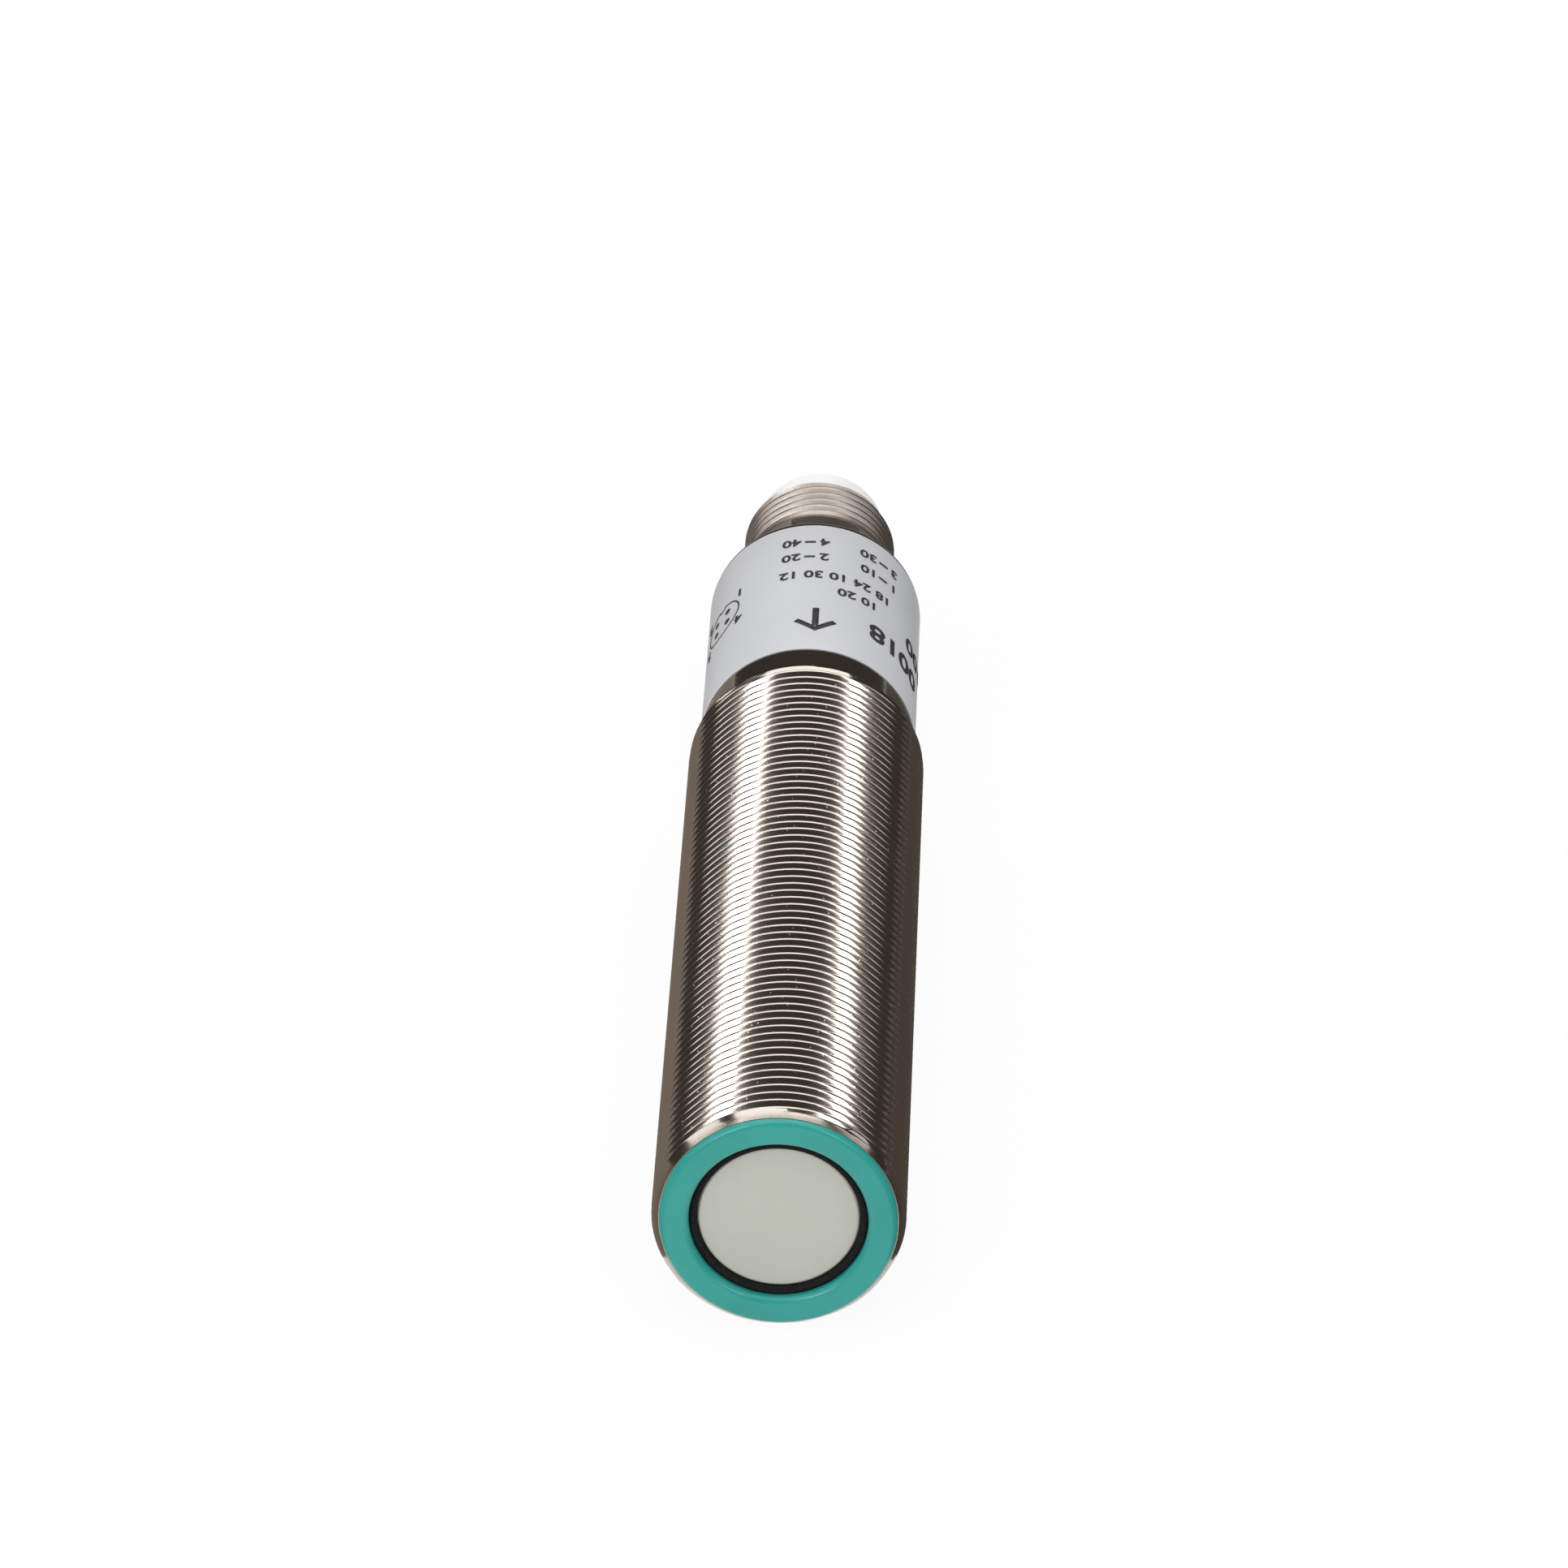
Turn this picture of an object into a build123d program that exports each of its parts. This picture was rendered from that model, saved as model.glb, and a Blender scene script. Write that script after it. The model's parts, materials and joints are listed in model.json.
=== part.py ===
from build123d import *
import os
from math import cos, radians, sin, sqrt, tan

# Ultrasonic proximity sensor in an M18 threaded barrel with an M12 plug connector, in millimetres.
# It lies along Y: it looks towards -Y and its connector faces +Y, with +Z up.
# The origin is on the axis, at the first crest of the barrel's thread.

os.makedirs("parts", exist_ok=True)

# Clearances
slip = 0.05  # between round pieces that slide into each other, on the radius
solder_gap = 0.05  # round a pin or a wire in its hole, on the radius

# Screw threads: 60 degree flanks, a flat crest of an eighth of the pitch
thread_pitch = 1.0
crest_land = thread_pitch / 8
thread_depth = 17 / 24 * thread_pitch * sqrt(3) / 2

# Barrel
barrel_crest_radius = 8.95
barrel_crests = 64
barrel_wall = 1.05  # under the thread's roots
front_chamfer = 0.52  # radial, in front of the first crest
front_margin = 0.70  # from the barrel's front face to the first crest
runout_length = 0.60  # from the last crest to the shoulder's edge
runout_depth = 0.35
shoulder_slope = 0.65
neck_drop = 0.78  # the neck lies this much below the crests
neck_length = 24.25  # from the shoulder to the rear face
rim_rounding = 0.45

# Cover ring, with a lip in front of the barrel and a skirt inside it
lip_thickness = 0.45
lip_setback = 0.05  # inside the barrel's front edge
skirt_wall = 0.94
skirt_length = 10.7
lip_rounding = 0.25

# Transducer
foam_thickness = 0.55
foam_recess = 0.55  # behind the ring's front
disc_recess = 0.90
disc_thickness = 1.50
disc_rounding = 0.20
piezo_thickness = 2.0
cup_wall = 0.70
cup_floor = 1.0
damping_length = 4.25
pad_thickness = 1.50
lead_radius = 0.30
lead_spread = 4.0
lead_reach = 3.0  # past the front potting, over the circuit board

# Electronics
front_potting_length = 2.50
sleeve_thickness = 0.30
board_gap = 0.50  # at each end of the circuit board
board_thickness = 1.0
board_top = -0.60
potting_length = 2.0
connector_board_thickness = 1.0
led_length = 0.80

transformer_radius = 3.60
transformer_height = 5.0
transformer_post_radius = 1.40
transformer_plate = 0.80
transformer_side_wall = 0.70
winding_clearance = 0.10
amplifier_size = (3.9, 4.9, 1.4)
amplifier_legs = 4
processor_side = 7.0
processor_height = 1.2
processor_legs = 8
crystal_size = (5.0, 3.2, 1.2)
regulator_size = (6.5, 3.5, 1.6)
driver_size = (6.5, 3.5, 1.6)
capacitor_size = (4.3, 7.3, 2.9)
capacitor_spacing = 5.6
supply_chip_legs = 2  # on each side, as for the other chips
leg_width = 0.40
leg_thickness = 0.20
leg_reach = 1.0
passive_size = (1.25, 2.0, 0.55)
passive_spacing = (2.4, 4.0)
passive_grid = (4, 10)
bead_radius = 0.80
bead_height = 1.50
bead_leg_radius = 0.20
bead_leg_height = 1.00

# Pins between the two boards
link_pins = 5
link_pitch = 1.5
link_pin_radius = 0.30
link_height = 0.90  # of the pins over the board
link_body_length = 2.5
link_body_height = 2.0
link_pin_projection = 0.60

# M12 connector
shell_crest_radius = 5.95
shell_crests = 5
shell_end_margin = 0.90  # from the last crest to the shell's rear edge
shell_end_chamfer = 0.15
shell_lead = 0.63  # from the windows to the first crest
shell_tube_drop = 0.20  # the tube lies this much below the crests
plug_length = 3.5
lip_projection = 0.40
shell_lip_margin = 0.07
window_count = 4
window_angle = 57.0
window_turn = 7.5  # of a window's middle from the top
window_length = 4.0
window_margin = 1.10  # from the lip to the windows
window_recess = 0.60
window_gap = 0.05  # round each pad of the light ring, along the sensor
pad_turn_gap = 0.5  # in degrees, at each side of a pad
seal_cord_radius = 0.55
seal_room = 0.10
seal_place = 1.9  # behind the plug's front face

carrier_radius = 4.96
carrier_wall = 0.62
carrier_projection = 3.33  # of the collar past the shell
cup_depth = 8.0
collar_rounding = 0.30
light_ring_wall = 0.60
key_width = 1.0
key_height = 0.55
key_setback = 0.80

contact_count = 4
contact_circle_radius = 2.75
contact_radius = 0.50
contact_recess = 1.5
contact_tip_rounding = 0.30
tail_radius = 0.35
tail_projection = 0.70

# Label
label_thickness = 0.06
glue_thickness = 0.02
label_length = 20.08
label_margin = 0.77  # from the label to the barrel's rear face

# Radii worked out from the outside inwards
barrel_root_radius = barrel_crest_radius - thread_depth
bore_radius = barrel_root_radius - barrel_wall
barrel_edge_radius = barrel_crest_radius - front_chamfer
neck_radius = barrel_crest_radius - neck_drop
lip_radius = barrel_edge_radius - lip_setback
skirt_radius = bore_radius - slip
opening_radius = skirt_radius - skirt_wall
disc_radius = opening_radius - foam_thickness
cup_inner_radius = disc_radius - cup_wall
sleeve_radius = bore_radius - slip
sleeve_inner_radius = sleeve_radius - sleeve_thickness
inside_radius = sleeve_inner_radius - slip
shell_root_radius = shell_crest_radius - thread_depth
shell_tube_radius = shell_crest_radius - shell_tube_drop
shell_bore_radius = carrier_radius + slip
light_ring_radius = shell_bore_radius - slip
light_ring_inner_radius = light_ring_radius - light_ring_wall
stem_radius = light_ring_inner_radius - slip

# Places along the axis, from front to rear
barrel_front = -front_margin
ring_front = barrel_front - lip_thickness
skirt_end = barrel_front + skirt_length
foam_front = ring_front + foam_recess
disc_front = ring_front + disc_recess
disc_back = disc_front + disc_thickness
piezo_back = disc_back + piezo_thickness
damping_back = piezo_back + damping_length
cup_back = damping_back + cup_floor
pad_back = cup_back + pad_thickness
potting_front = max(skirt_end, pad_back)
potting_back = potting_front + front_potting_length
last_crest = (barrel_crests - 1) * thread_pitch
shoulder = last_crest + runout_length
barrel_rear = shoulder + shoulder_slope + neck_length
plug_front = barrel_rear - plug_length
connector_board_back = plug_front - led_length
connector_board_front = connector_board_back - connector_board_thickness
rear_potting_front = connector_board_front - potting_length
board_front = potting_back + board_gap
board_rear = rear_potting_front - board_gap
lip_rear = barrel_rear + lip_projection
window_front = lip_rear + window_margin
window_rear = window_front + window_length
first_shell_crest = window_rear + shell_lead
last_shell_crest = first_shell_crest + (shell_crests - 1) * thread_pitch
shell_rear = last_shell_crest + shell_end_margin
collar_rear = shell_rear + carrier_projection
cup_bottom = collar_rear - cup_depth
contact_tip = collar_rear - contact_recess
tail_front = connector_board_front - tail_projection
label_rear = barrel_rear - label_margin
label_front = label_rear - label_length

# Sizes across the electronics
board_bottom = board_top - board_thickness
board_half_width = sqrt(inside_radius**2 - board_bottom**2)
link_pin_level = board_top + link_height
contact_turn = 180 / contact_count

# The parts on top of the circuit board are spread evenly, front to rear, up to the link header
part_lengths = [
    2 * bead_radius,
    2 * transformer_radius,
    amplifier_size[1],
    processor_side,
    crystal_size[1],
    regulator_size[1],
    driver_size[1],
    capacitor_size[1],
]
free_length = board_rear - board_front - link_body_length - sum(part_lengths)
part_gap = free_length / (len(part_lengths) + 1)
part_places = []
for index, part_length in enumerate(part_lengths):
    part_start = board_front + (index + 1) * part_gap + sum(part_lengths[:index])
    part_places.append(part_start + part_length / 2)
bead_y, transformer_y, amplifier_y, processor_y = part_places[:4]
crystal_y, regulator_y, driver_y, capacitor_y = part_places[4:]


def across(place):
    """Plane across the axis at a place along it, as seen by someone who faces the connector."""
    return Plane(origin=(0, place, 0), x_dir=(-1, 0, 0), z_dir=(0, 1, 0))


def along(turn):
    """Plane through the axis, with x outwards at a turn from the top towards +X, and y along the sensor."""
    outwards = (sin(radians(turn)), 0, cos(radians(turn)))
    return Plane(origin=(0, 0, 0), x_dir=outwards, z_dir=(-outwards[2], 0, outwards[0]))


def thread_points(crest_radius, first_crest, crests):
    """Half section of thread ribs: each rises from the root to a flat crest and falls back."""
    flank = thread_depth * tan(radians(30))
    half_land = crest_land / 2
    points = []
    for crest in range(crests):
        middle = first_crest + crest * thread_pitch
        root_radius = crest_radius - thread_depth
        if crest > 0:
            points.append((root_radius, middle - half_land - flank))
        points.append((crest_radius, middle - half_land))
        points.append((crest_radius, middle + half_land))
        if crest < crests - 1:
            points.append((root_radius, middle + half_land + flank))
    return points


# Barrel: brass tube with the ribs of the thread, a shoulder and a smooth neck
with BuildPart() as threaded_barrel:
    with BuildSketch(Plane.XY):
        with BuildLine():
            Polyline(
                (bore_radius, barrel_front),
                (barrel_edge_radius, barrel_front),
                *thread_points(barrel_crest_radius, 0, barrel_crests),
                (barrel_crest_radius - runout_depth, last_crest + runout_length / 2),
                (barrel_crest_radius, shoulder),
                (neck_radius, shoulder + shoulder_slope),
                (neck_radius, barrel_rear),
                (bore_radius, barrel_rear),
                close=True,
            )
        make_face()
    revolve(axis=Axis.Y)
    rear_edges = threaded_barrel.edges().filter_by(GeomType.CIRCLE).group_by(Axis.Y)[-1]
    fillet(rear_edges.sort_by(SortBy.RADIUS)[-1], rim_rounding)
threaded_barrel.part.label = "threaded_barrel"
export_step(threaded_barrel.part, "parts/threaded_barrel.step")

# Cover ring: the lip covers the barrel's front face, the skirt holds the transducer
with BuildPart() as cover_ring:
    with BuildSketch(across(ring_front)):
        Circle(lip_radius)
    extrude(amount=lip_thickness)
    with BuildSketch(across(barrel_front)):
        Circle(skirt_radius)
    extrude(amount=skirt_length)
    front_edge = cover_ring.edges().filter_by(GeomType.CIRCLE).group_by(Axis.Y)[0]
    fillet(front_edge, lip_rounding)
    with BuildSketch(across(ring_front)):
        Circle(opening_radius)
    extrude(amount=lip_thickness + skirt_length, mode=Mode.SUBTRACT)
    mouth_edges = cover_ring.edges().filter_by(GeomType.CIRCLE).group_by(Axis.Y)[0]
    fillet(mouth_edges.sort_by(SortBy.RADIUS)[0], lip_rounding)
cover_ring.part.label = "cover_ring"
export_step(cover_ring.part, "parts/cover_ring.step")

# Foam ring: keeps the transducer's vibration out of the cover ring
with BuildPart() as foam_ring:
    with BuildSketch(across(foam_front)):
        Circle(opening_radius)
        Circle(disc_radius, mode=Mode.SUBTRACT)
    extrude(amount=cup_back - foam_front)
foam_ring.part.label = "foam_ring"
export_step(foam_ring.part, "parts/foam_ring.step")

# Matching layer: the pale disc that couples the piezo disc to the air
with BuildPart() as matching_layer:
    with BuildSketch(across(disc_front)):
        Circle(disc_radius)
    extrude(amount=disc_thickness)
    fillet(matching_layer.edges().group_by(Axis.Y)[0], disc_rounding)
matching_layer.part.label = "matching_layer"
export_step(matching_layer.part, "parts/matching_layer.step")

# Piezo disc, bonded behind the matching layer
with BuildPart() as piezo_disc:
    with BuildSketch(across(disc_back)):
        Circle(cup_inner_radius - slip)
    extrude(amount=piezo_thickness)
piezo_disc.part.label = "piezo_disc"
export_step(piezo_disc.part, "parts/piezo_disc.step")

# Transducer cup: carries the matching layer on its rim, with two holes for the leads
with BuildPart() as transducer_cup:
    with BuildSketch(across(disc_back)):
        Circle(disc_radius)
    extrude(amount=cup_back - disc_back)
    with BuildSketch(across(disc_back)):
        Circle(cup_inner_radius)
    extrude(amount=damping_back - disc_back, mode=Mode.SUBTRACT)
    with BuildSketch(across(damping_back)):
        with GridLocations(lead_spread, 1, 2, 1):
            Circle(lead_radius + solder_gap)
    extrude(amount=cup_floor, mode=Mode.SUBTRACT)
transducer_cup.part.label = "transducer_cup"
export_step(transducer_cup.part, "parts/transducer_cup.step")

# Damping block: rubber that stops the piezo disc from ringing on
with BuildPart() as damping_block:
    with BuildSketch(across(piezo_back)):
        Circle(cup_inner_radius - slip)
        with GridLocations(lead_spread, 1, 2, 1):
            Circle(lead_radius + solder_gap, mode=Mode.SUBTRACT)
    extrude(amount=damping_length)
damping_block.part.label = "damping_block"
export_step(damping_block.part, "parts/damping_block.step")

# Isolation pad: foam between the cup and the potting behind it
with BuildPart() as isolation_pad:
    with BuildSketch(across(cup_back)):
        Circle(opening_radius - slip)
        with GridLocations(lead_spread, 1, 2, 1):
            Circle(lead_radius + solder_gap, mode=Mode.SUBTRACT)
    extrude(amount=pad_thickness)
isolation_pad.part.label = "isolation_pad"
export_step(isolation_pad.part, "parts/isolation_pad.step")

# Transducer leads: from the piezo disc, through the pad and the potting, to the circuit board
with BuildPart() as transducer_leads:
    with BuildSketch(across(piezo_back)):
        with GridLocations(lead_spread, 1, 2, 1):
            Circle(lead_radius)
    extrude(amount=potting_back + lead_reach - piezo_back)
transducer_leads.part.label = "transducer_leads"
export_step(transducer_leads.part, "parts/transducer_leads.step")

# Front potting: resin plug behind the transducer
with BuildPart() as front_potting:
    with BuildSketch(across(potting_front)):
        Circle(bore_radius - slip)
        with GridLocations(lead_spread, 1, 2, 1):
            Circle(lead_radius + solder_gap, mode=Mode.SUBTRACT)
    extrude(amount=front_potting_length)
front_potting.part.label = "front_potting"
export_step(front_potting.part, "parts/front_potting.step")

# Insulating sleeve: thin plastic tube between the electronics and the barrel
with BuildPart() as insulating_sleeve:
    with BuildSketch(across(potting_back)):
        Circle(sleeve_radius)
        Circle(sleeve_inner_radius, mode=Mode.SUBTRACT)
    extrude(amount=plug_front - potting_back)
insulating_sleeve.part.label = "insulating_sleeve"
export_step(insulating_sleeve.part, "parts/insulating_sleeve.step")

# Circuit board: lies along the sensor, a little below its axis
with BuildPart() as circuit_board:
    with BuildSketch(Plane.XY.offset(board_bottom)):
        with Locations((0, (board_front + board_rear) / 2)):
            Rectangle(2 * board_half_width, board_rear - board_front)
    extrude(amount=board_thickness)
circuit_board.part.label = "circuit_board"
export_step(circuit_board.part, "parts/circuit_board.step")

# Transformer core: two ferrite cups, mouth to mouth, each with a centre post
window_radius = transformer_radius - transformer_side_wall
with BuildPart() as transformer_core:
    for foot, up in ((board_top, 1), (board_top + transformer_height, -1)):
        with BuildSketch(Plane.XY.offset(foot)):
            with Locations((0, transformer_y)):
                Circle(transformer_radius)
        extrude(amount=up * transformer_plate)
        with BuildSketch(Plane.XY.offset(foot + up * transformer_plate)):
            with Locations((0, transformer_y)):
                Circle(transformer_radius)
                Circle(window_radius, mode=Mode.SUBTRACT)
                Circle(transformer_post_radius)
        extrude(amount=up * (transformer_height / 2 - transformer_plate - winding_clearance / 2))
transformer_core.part.label = "transformer_core"
export_step(transformer_core.part, "parts/transformer_core.step")

# Transformer winding: copper coil round the posts
with BuildPart() as transformer_winding:
    with BuildSketch(Plane.XY.offset(board_top + transformer_plate + winding_clearance)):
        with Locations((0, transformer_y)):
            Circle(window_radius - winding_clearance)
            Circle(transformer_post_radius + winding_clearance, mode=Mode.SUBTRACT)
    extrude(amount=transformer_height - 2 * transformer_plate - 2 * winding_clearance)
transformer_winding.part.label = "transformer_winding"
export_step(transformer_winding.part, "parts/transformer_winding.step")


def chip(size, place, legs):
    """A chip's body on the board with solder legs along both sides, as one part."""
    width, length, height = size
    with BuildPart() as body:
        with BuildSketch(Plane.XY.offset(board_top)):
            with Locations((0, place)):
                Rectangle(width, length)
        extrude(amount=height)
        chamfer(body.faces().sort_by(Axis.Z)[-1].edges(), height / 8)
        with BuildSketch(Plane.XY.offset(board_top)):
            with Locations((0, place)):
                with GridLocations(width + leg_reach, length / legs, 2, legs):
                    Rectangle(leg_reach + leg_thickness, leg_width)
        extrude(amount=leg_thickness)
    return body.part


# Chips on the circuit board
processor_size = (processor_side, processor_side, processor_height)
amplifier_chip = chip(amplifier_size, amplifier_y, amplifier_legs)
microcontroller = chip(processor_size, processor_y, processor_legs)
voltage_regulator = chip(regulator_size, regulator_y, supply_chip_legs)
driver_transistor = chip(driver_size, driver_y, supply_chip_legs)
amplifier_chip.label = "amplifier_chip"
microcontroller.label = "microcontroller"
voltage_regulator.label = "voltage_regulator"
driver_transistor.label = "driver_transistor"
export_step(amplifier_chip, "parts/amplifier_chip.step")
export_step(microcontroller, "parts/microcontroller.step")
export_step(voltage_regulator, "parts/voltage_regulator.step")
export_step(driver_transistor, "parts/driver_transistor.step")

# Crystal: the processor's clock, in a metal can
with BuildPart() as crystal:
    with BuildSketch(Plane.XY.offset(board_top)):
        with Locations((0, crystal_y)):
            RectangleRounded(crystal_size[0], crystal_size[1], crystal_size[1] / 4)
    extrude(amount=crystal_size[2])
crystal.part.label = "crystal"
export_step(crystal.part, "parts/crystal.step")

# Tantalum capacitors: two, side by side near the supply end
with BuildPart() as tantalum_capacitors:
    with BuildSketch(Plane.XY.offset(board_top)):
        with Locations((0, capacitor_y)):
            with GridLocations(capacitor_spacing, 1, 2, 1):
                Rectangle(capacitor_size[0], capacitor_size[1])
    extrude(amount=capacitor_size[2])
tantalum_capacitors.part.label = "tantalum_capacitors"
export_step(tantalum_capacitors.part, "parts/tantalum_capacitors.step")

# Chip resistors and capacitors: a grid under the circuit board
with BuildPart() as chip_passives:
    with BuildSketch(Plane.XY.offset(board_bottom)):
        with Locations((0, (board_front + board_rear) / 2)):
            with GridLocations(*passive_spacing, *passive_grid):
                Rectangle(passive_size[0], passive_size[1])
    extrude(amount=-passive_size[2])
chip_passives.part.label = "chip_passives"
export_step(chip_passives.part, "parts/chip_passives.step")

# Temperature sensor: a bead on two legs at the board's front, for the speed of sound
with BuildPart() as temperature_sensor:
    with BuildSketch(Plane.XY.offset(board_top + bead_leg_height)):
        with Locations((0, bead_y)):
            Circle(bead_radius)
    extrude(amount=bead_height)
    fillet(temperature_sensor.edges().filter_by(GeomType.CIRCLE), bead_radius * 0.6)
    with BuildSketch(Plane.XY.offset(board_top)):
        with Locations((0, bead_y)):
            with GridLocations(bead_radius, 1, 2, 1):
                Circle(bead_leg_radius)
    extrude(amount=bead_leg_height + bead_height / 2)
temperature_sensor.part.label = "temperature_sensor"
export_step(temperature_sensor.part, "parts/temperature_sensor.step")

# Link header: plastic block at the board's rear edge, with a hole for each pin
link_body_width = link_pins * link_pitch
with BuildPart() as link_header:
    with BuildSketch(across(board_rear - link_body_length)):
        with Locations((0, board_top + link_body_height / 2)):
            Rectangle(link_body_width, link_body_height)
        with Locations((0, link_pin_level)):
            with GridLocations(link_pitch, 1, link_pins, 1):
                Circle(link_pin_radius + solder_gap, mode=Mode.SUBTRACT)
    extrude(amount=link_body_length)
link_header.part.label = "link_header"
export_step(link_header.part, "parts/link_header.step")

# Link pins: carry supply and signal from one board to the other
with BuildPart() as link_pin_row:
    with BuildSketch(across(board_rear - link_body_length)):
        with Locations((0, link_pin_level)):
            with GridLocations(link_pitch, 1, link_pins, 1):
                Circle(link_pin_radius)
    extrude(amount=connector_board_back + link_pin_projection - board_rear + link_body_length)
link_pin_row.part.label = "link_pins"
export_step(link_pin_row.part, "parts/link_pins.step")

# Connector board: round, across the sensor, with holes for the link pins and the contacts
with BuildPart() as connector_board:
    with BuildSketch(across(connector_board_front)):
        Circle(inside_radius)
        with Locations((0, link_pin_level)):
            with GridLocations(link_pitch, 1, link_pins, 1):
                Circle(link_pin_radius + solder_gap, mode=Mode.SUBTRACT)
        with PolarLocations(contact_circle_radius, contact_count, start_angle=contact_turn):
            Circle(tail_radius + solder_gap, mode=Mode.SUBTRACT)
    extrude(amount=connector_board_thickness)
connector_board.part.label = "connector_board"
export_step(connector_board.part, "parts/connector_board.step")

# Rear potting: resin in front of the connector board
with BuildPart() as rear_potting:
    with BuildSketch(across(rear_potting_front)):
        Circle(inside_radius)
        with Locations((0, link_pin_level)):
            with GridLocations(link_pitch, 1, link_pins, 1):
                Circle(link_pin_radius + solder_gap, mode=Mode.SUBTRACT)
        with PolarLocations(contact_circle_radius, contact_count, start_angle=contact_turn):
            Circle(tail_radius + solder_gap, mode=Mode.SUBTRACT)
    extrude(amount=potting_length)
rear_potting.part.label = "rear_potting"
export_step(rear_potting.part, "parts/rear_potting.step")


def led_pair(first_turn):
    """Two light sources on the connector board, opposite each other, behind the light ring."""
    led_circle_radius = (light_ring_radius + light_ring_inner_radius) / 2
    with BuildPart() as pair:
        with BuildSketch(across(connector_board_back)):
            with PolarLocations(led_circle_radius, 2, start_angle=90 + first_turn):
                Rectangle(light_ring_wall, 2 * light_ring_wall)
        extrude(amount=led_length - slip)
    return pair.part


# Status lights: two yellow for the output, two green for the supply, one to each window
yellow_leds = led_pair(-window_turn)
green_leds = led_pair(90 - window_turn)
yellow_leds.label = "yellow_leds"
green_leds.label = "green_leds"
export_step(yellow_leds, "parts/yellow_leds.step")
export_step(green_leds, "parts/green_leds.step")

# Connector shell: brass, pressed into the barrel, with four windows and the M12 thread
with BuildPart() as connector_shell:
    with BuildSketch(Plane.XY):
        with BuildLine():
            Polyline(
                (shell_bore_radius, plug_front),
                (bore_radius - slip, plug_front),
                (bore_radius - slip, barrel_rear),
                (neck_radius - rim_rounding - shell_lip_margin, barrel_rear),
                (neck_radius - rim_rounding - shell_lip_margin, lip_rear),
                (shell_tube_radius, lip_rear),
                (shell_tube_radius, first_shell_crest - thread_pitch / 4),
                *thread_points(shell_crest_radius, first_shell_crest, shell_crests),
                (shell_root_radius, last_shell_crest + thread_pitch / 2),
                (shell_crest_radius - shell_end_chamfer, shell_rear - shell_end_chamfer / 2),
                (shell_crest_radius - 2 * shell_end_chamfer, shell_rear),
                (shell_bore_radius, shell_rear),
                close=True,
            )
        make_face()
    revolve(axis=Axis.Y)
    with BuildSketch(Plane.XY):
        with Locations((bore_radius - seal_cord_radius, plug_front + seal_place)):
            Rectangle(2 * (seal_cord_radius + slip), 2 * (seal_cord_radius + seal_room))
    revolve(axis=Axis.Y, mode=Mode.SUBTRACT)
    for window in range(window_count):
        window_start = window_turn - window_angle / 2 + window * 360 / window_count
        with BuildSketch(along(window_start)):
            with Locations((shell_bore_radius - slip, window_front)):
                Rectangle(shell_crest_radius, window_length, align=(Align.MIN, Align.MIN))
        revolve(axis=Axis.Y, revolution_arc=window_angle, mode=Mode.SUBTRACT)
connector_shell.part.label = "connector_shell"
export_step(connector_shell.part, "parts/connector_shell.step")

# Shell seal: rubber ring in the plug's groove, against the barrel's bore
with BuildPart() as shell_seal:
    with BuildSketch(Plane.XY):
        with Locations((bore_radius - seal_cord_radius, plug_front + seal_place)):
            Circle(seal_cord_radius)
    revolve(axis=Axis.Y)
shell_seal.part.label = "shell_seal"
export_step(shell_seal.part, "parts/shell_seal.step")

# Light ring: smoky clear tube round the carrier's stem, with a pad in each window
with BuildPart() as light_ring:
    with BuildSketch(across(plug_front)):
        Circle(light_ring_radius)
        Circle(light_ring_inner_radius, mode=Mode.SUBTRACT)
    extrude(amount=window_rear - plug_front)
    pad_inner_radius = light_ring_radius - light_ring_wall / 2
    pad_outer_radius = shell_tube_radius - window_recess
    pad_angle = window_angle - 2 * pad_turn_gap
    for window in range(window_count):
        pad_start = window_turn - pad_angle / 2 + window * 360 / window_count
        with BuildSketch(along(pad_start)):
            with Locations((pad_inner_radius, window_front + window_gap)):
                Rectangle(
                    pad_outer_radius - pad_inner_radius,
                    window_length - 2 * window_gap,
                    align=(Align.MIN, Align.MIN),
                )
        revolve(axis=Axis.Y, revolution_arc=pad_angle)
light_ring.part.label = "light_ring"
export_step(light_ring.part, "parts/light_ring.step")

# Contact carrier: white plug insert with a stem, a cup for the cable's plug and a coding key
with BuildPart() as contact_carrier:
    with BuildSketch(across(plug_front)):
        Circle(stem_radius)
    extrude(amount=window_rear - plug_front)
    with BuildSketch(across(window_rear)):
        Circle(carrier_radius)
    extrude(amount=collar_rear - window_rear)
    with BuildSketch(across(cup_bottom)):
        Circle(carrier_radius - carrier_wall)
    extrude(amount=cup_depth, mode=Mode.SUBTRACT)
    with BuildSketch(across(cup_bottom)):
        with Locations((0, carrier_radius - carrier_wall)):
            Rectangle(key_width, 2 * key_height)
    extrude(amount=cup_depth - key_setback)
    with BuildSketch(across(plug_front)):
        with PolarLocations(contact_circle_radius, contact_count, start_angle=contact_turn):
            Circle(contact_radius)
    extrude(amount=cup_bottom - plug_front, mode=Mode.SUBTRACT)
    collar_edges = contact_carrier.edges().filter_by(GeomType.CIRCLE).group_by(Axis.Y)[-1]
    fillet(collar_edges.sort_by(SortBy.RADIUS)[-1], collar_rounding)
contact_carrier.part.label = "contact_carrier"
export_step(contact_carrier.part, "parts/contact_carrier.step")

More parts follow.
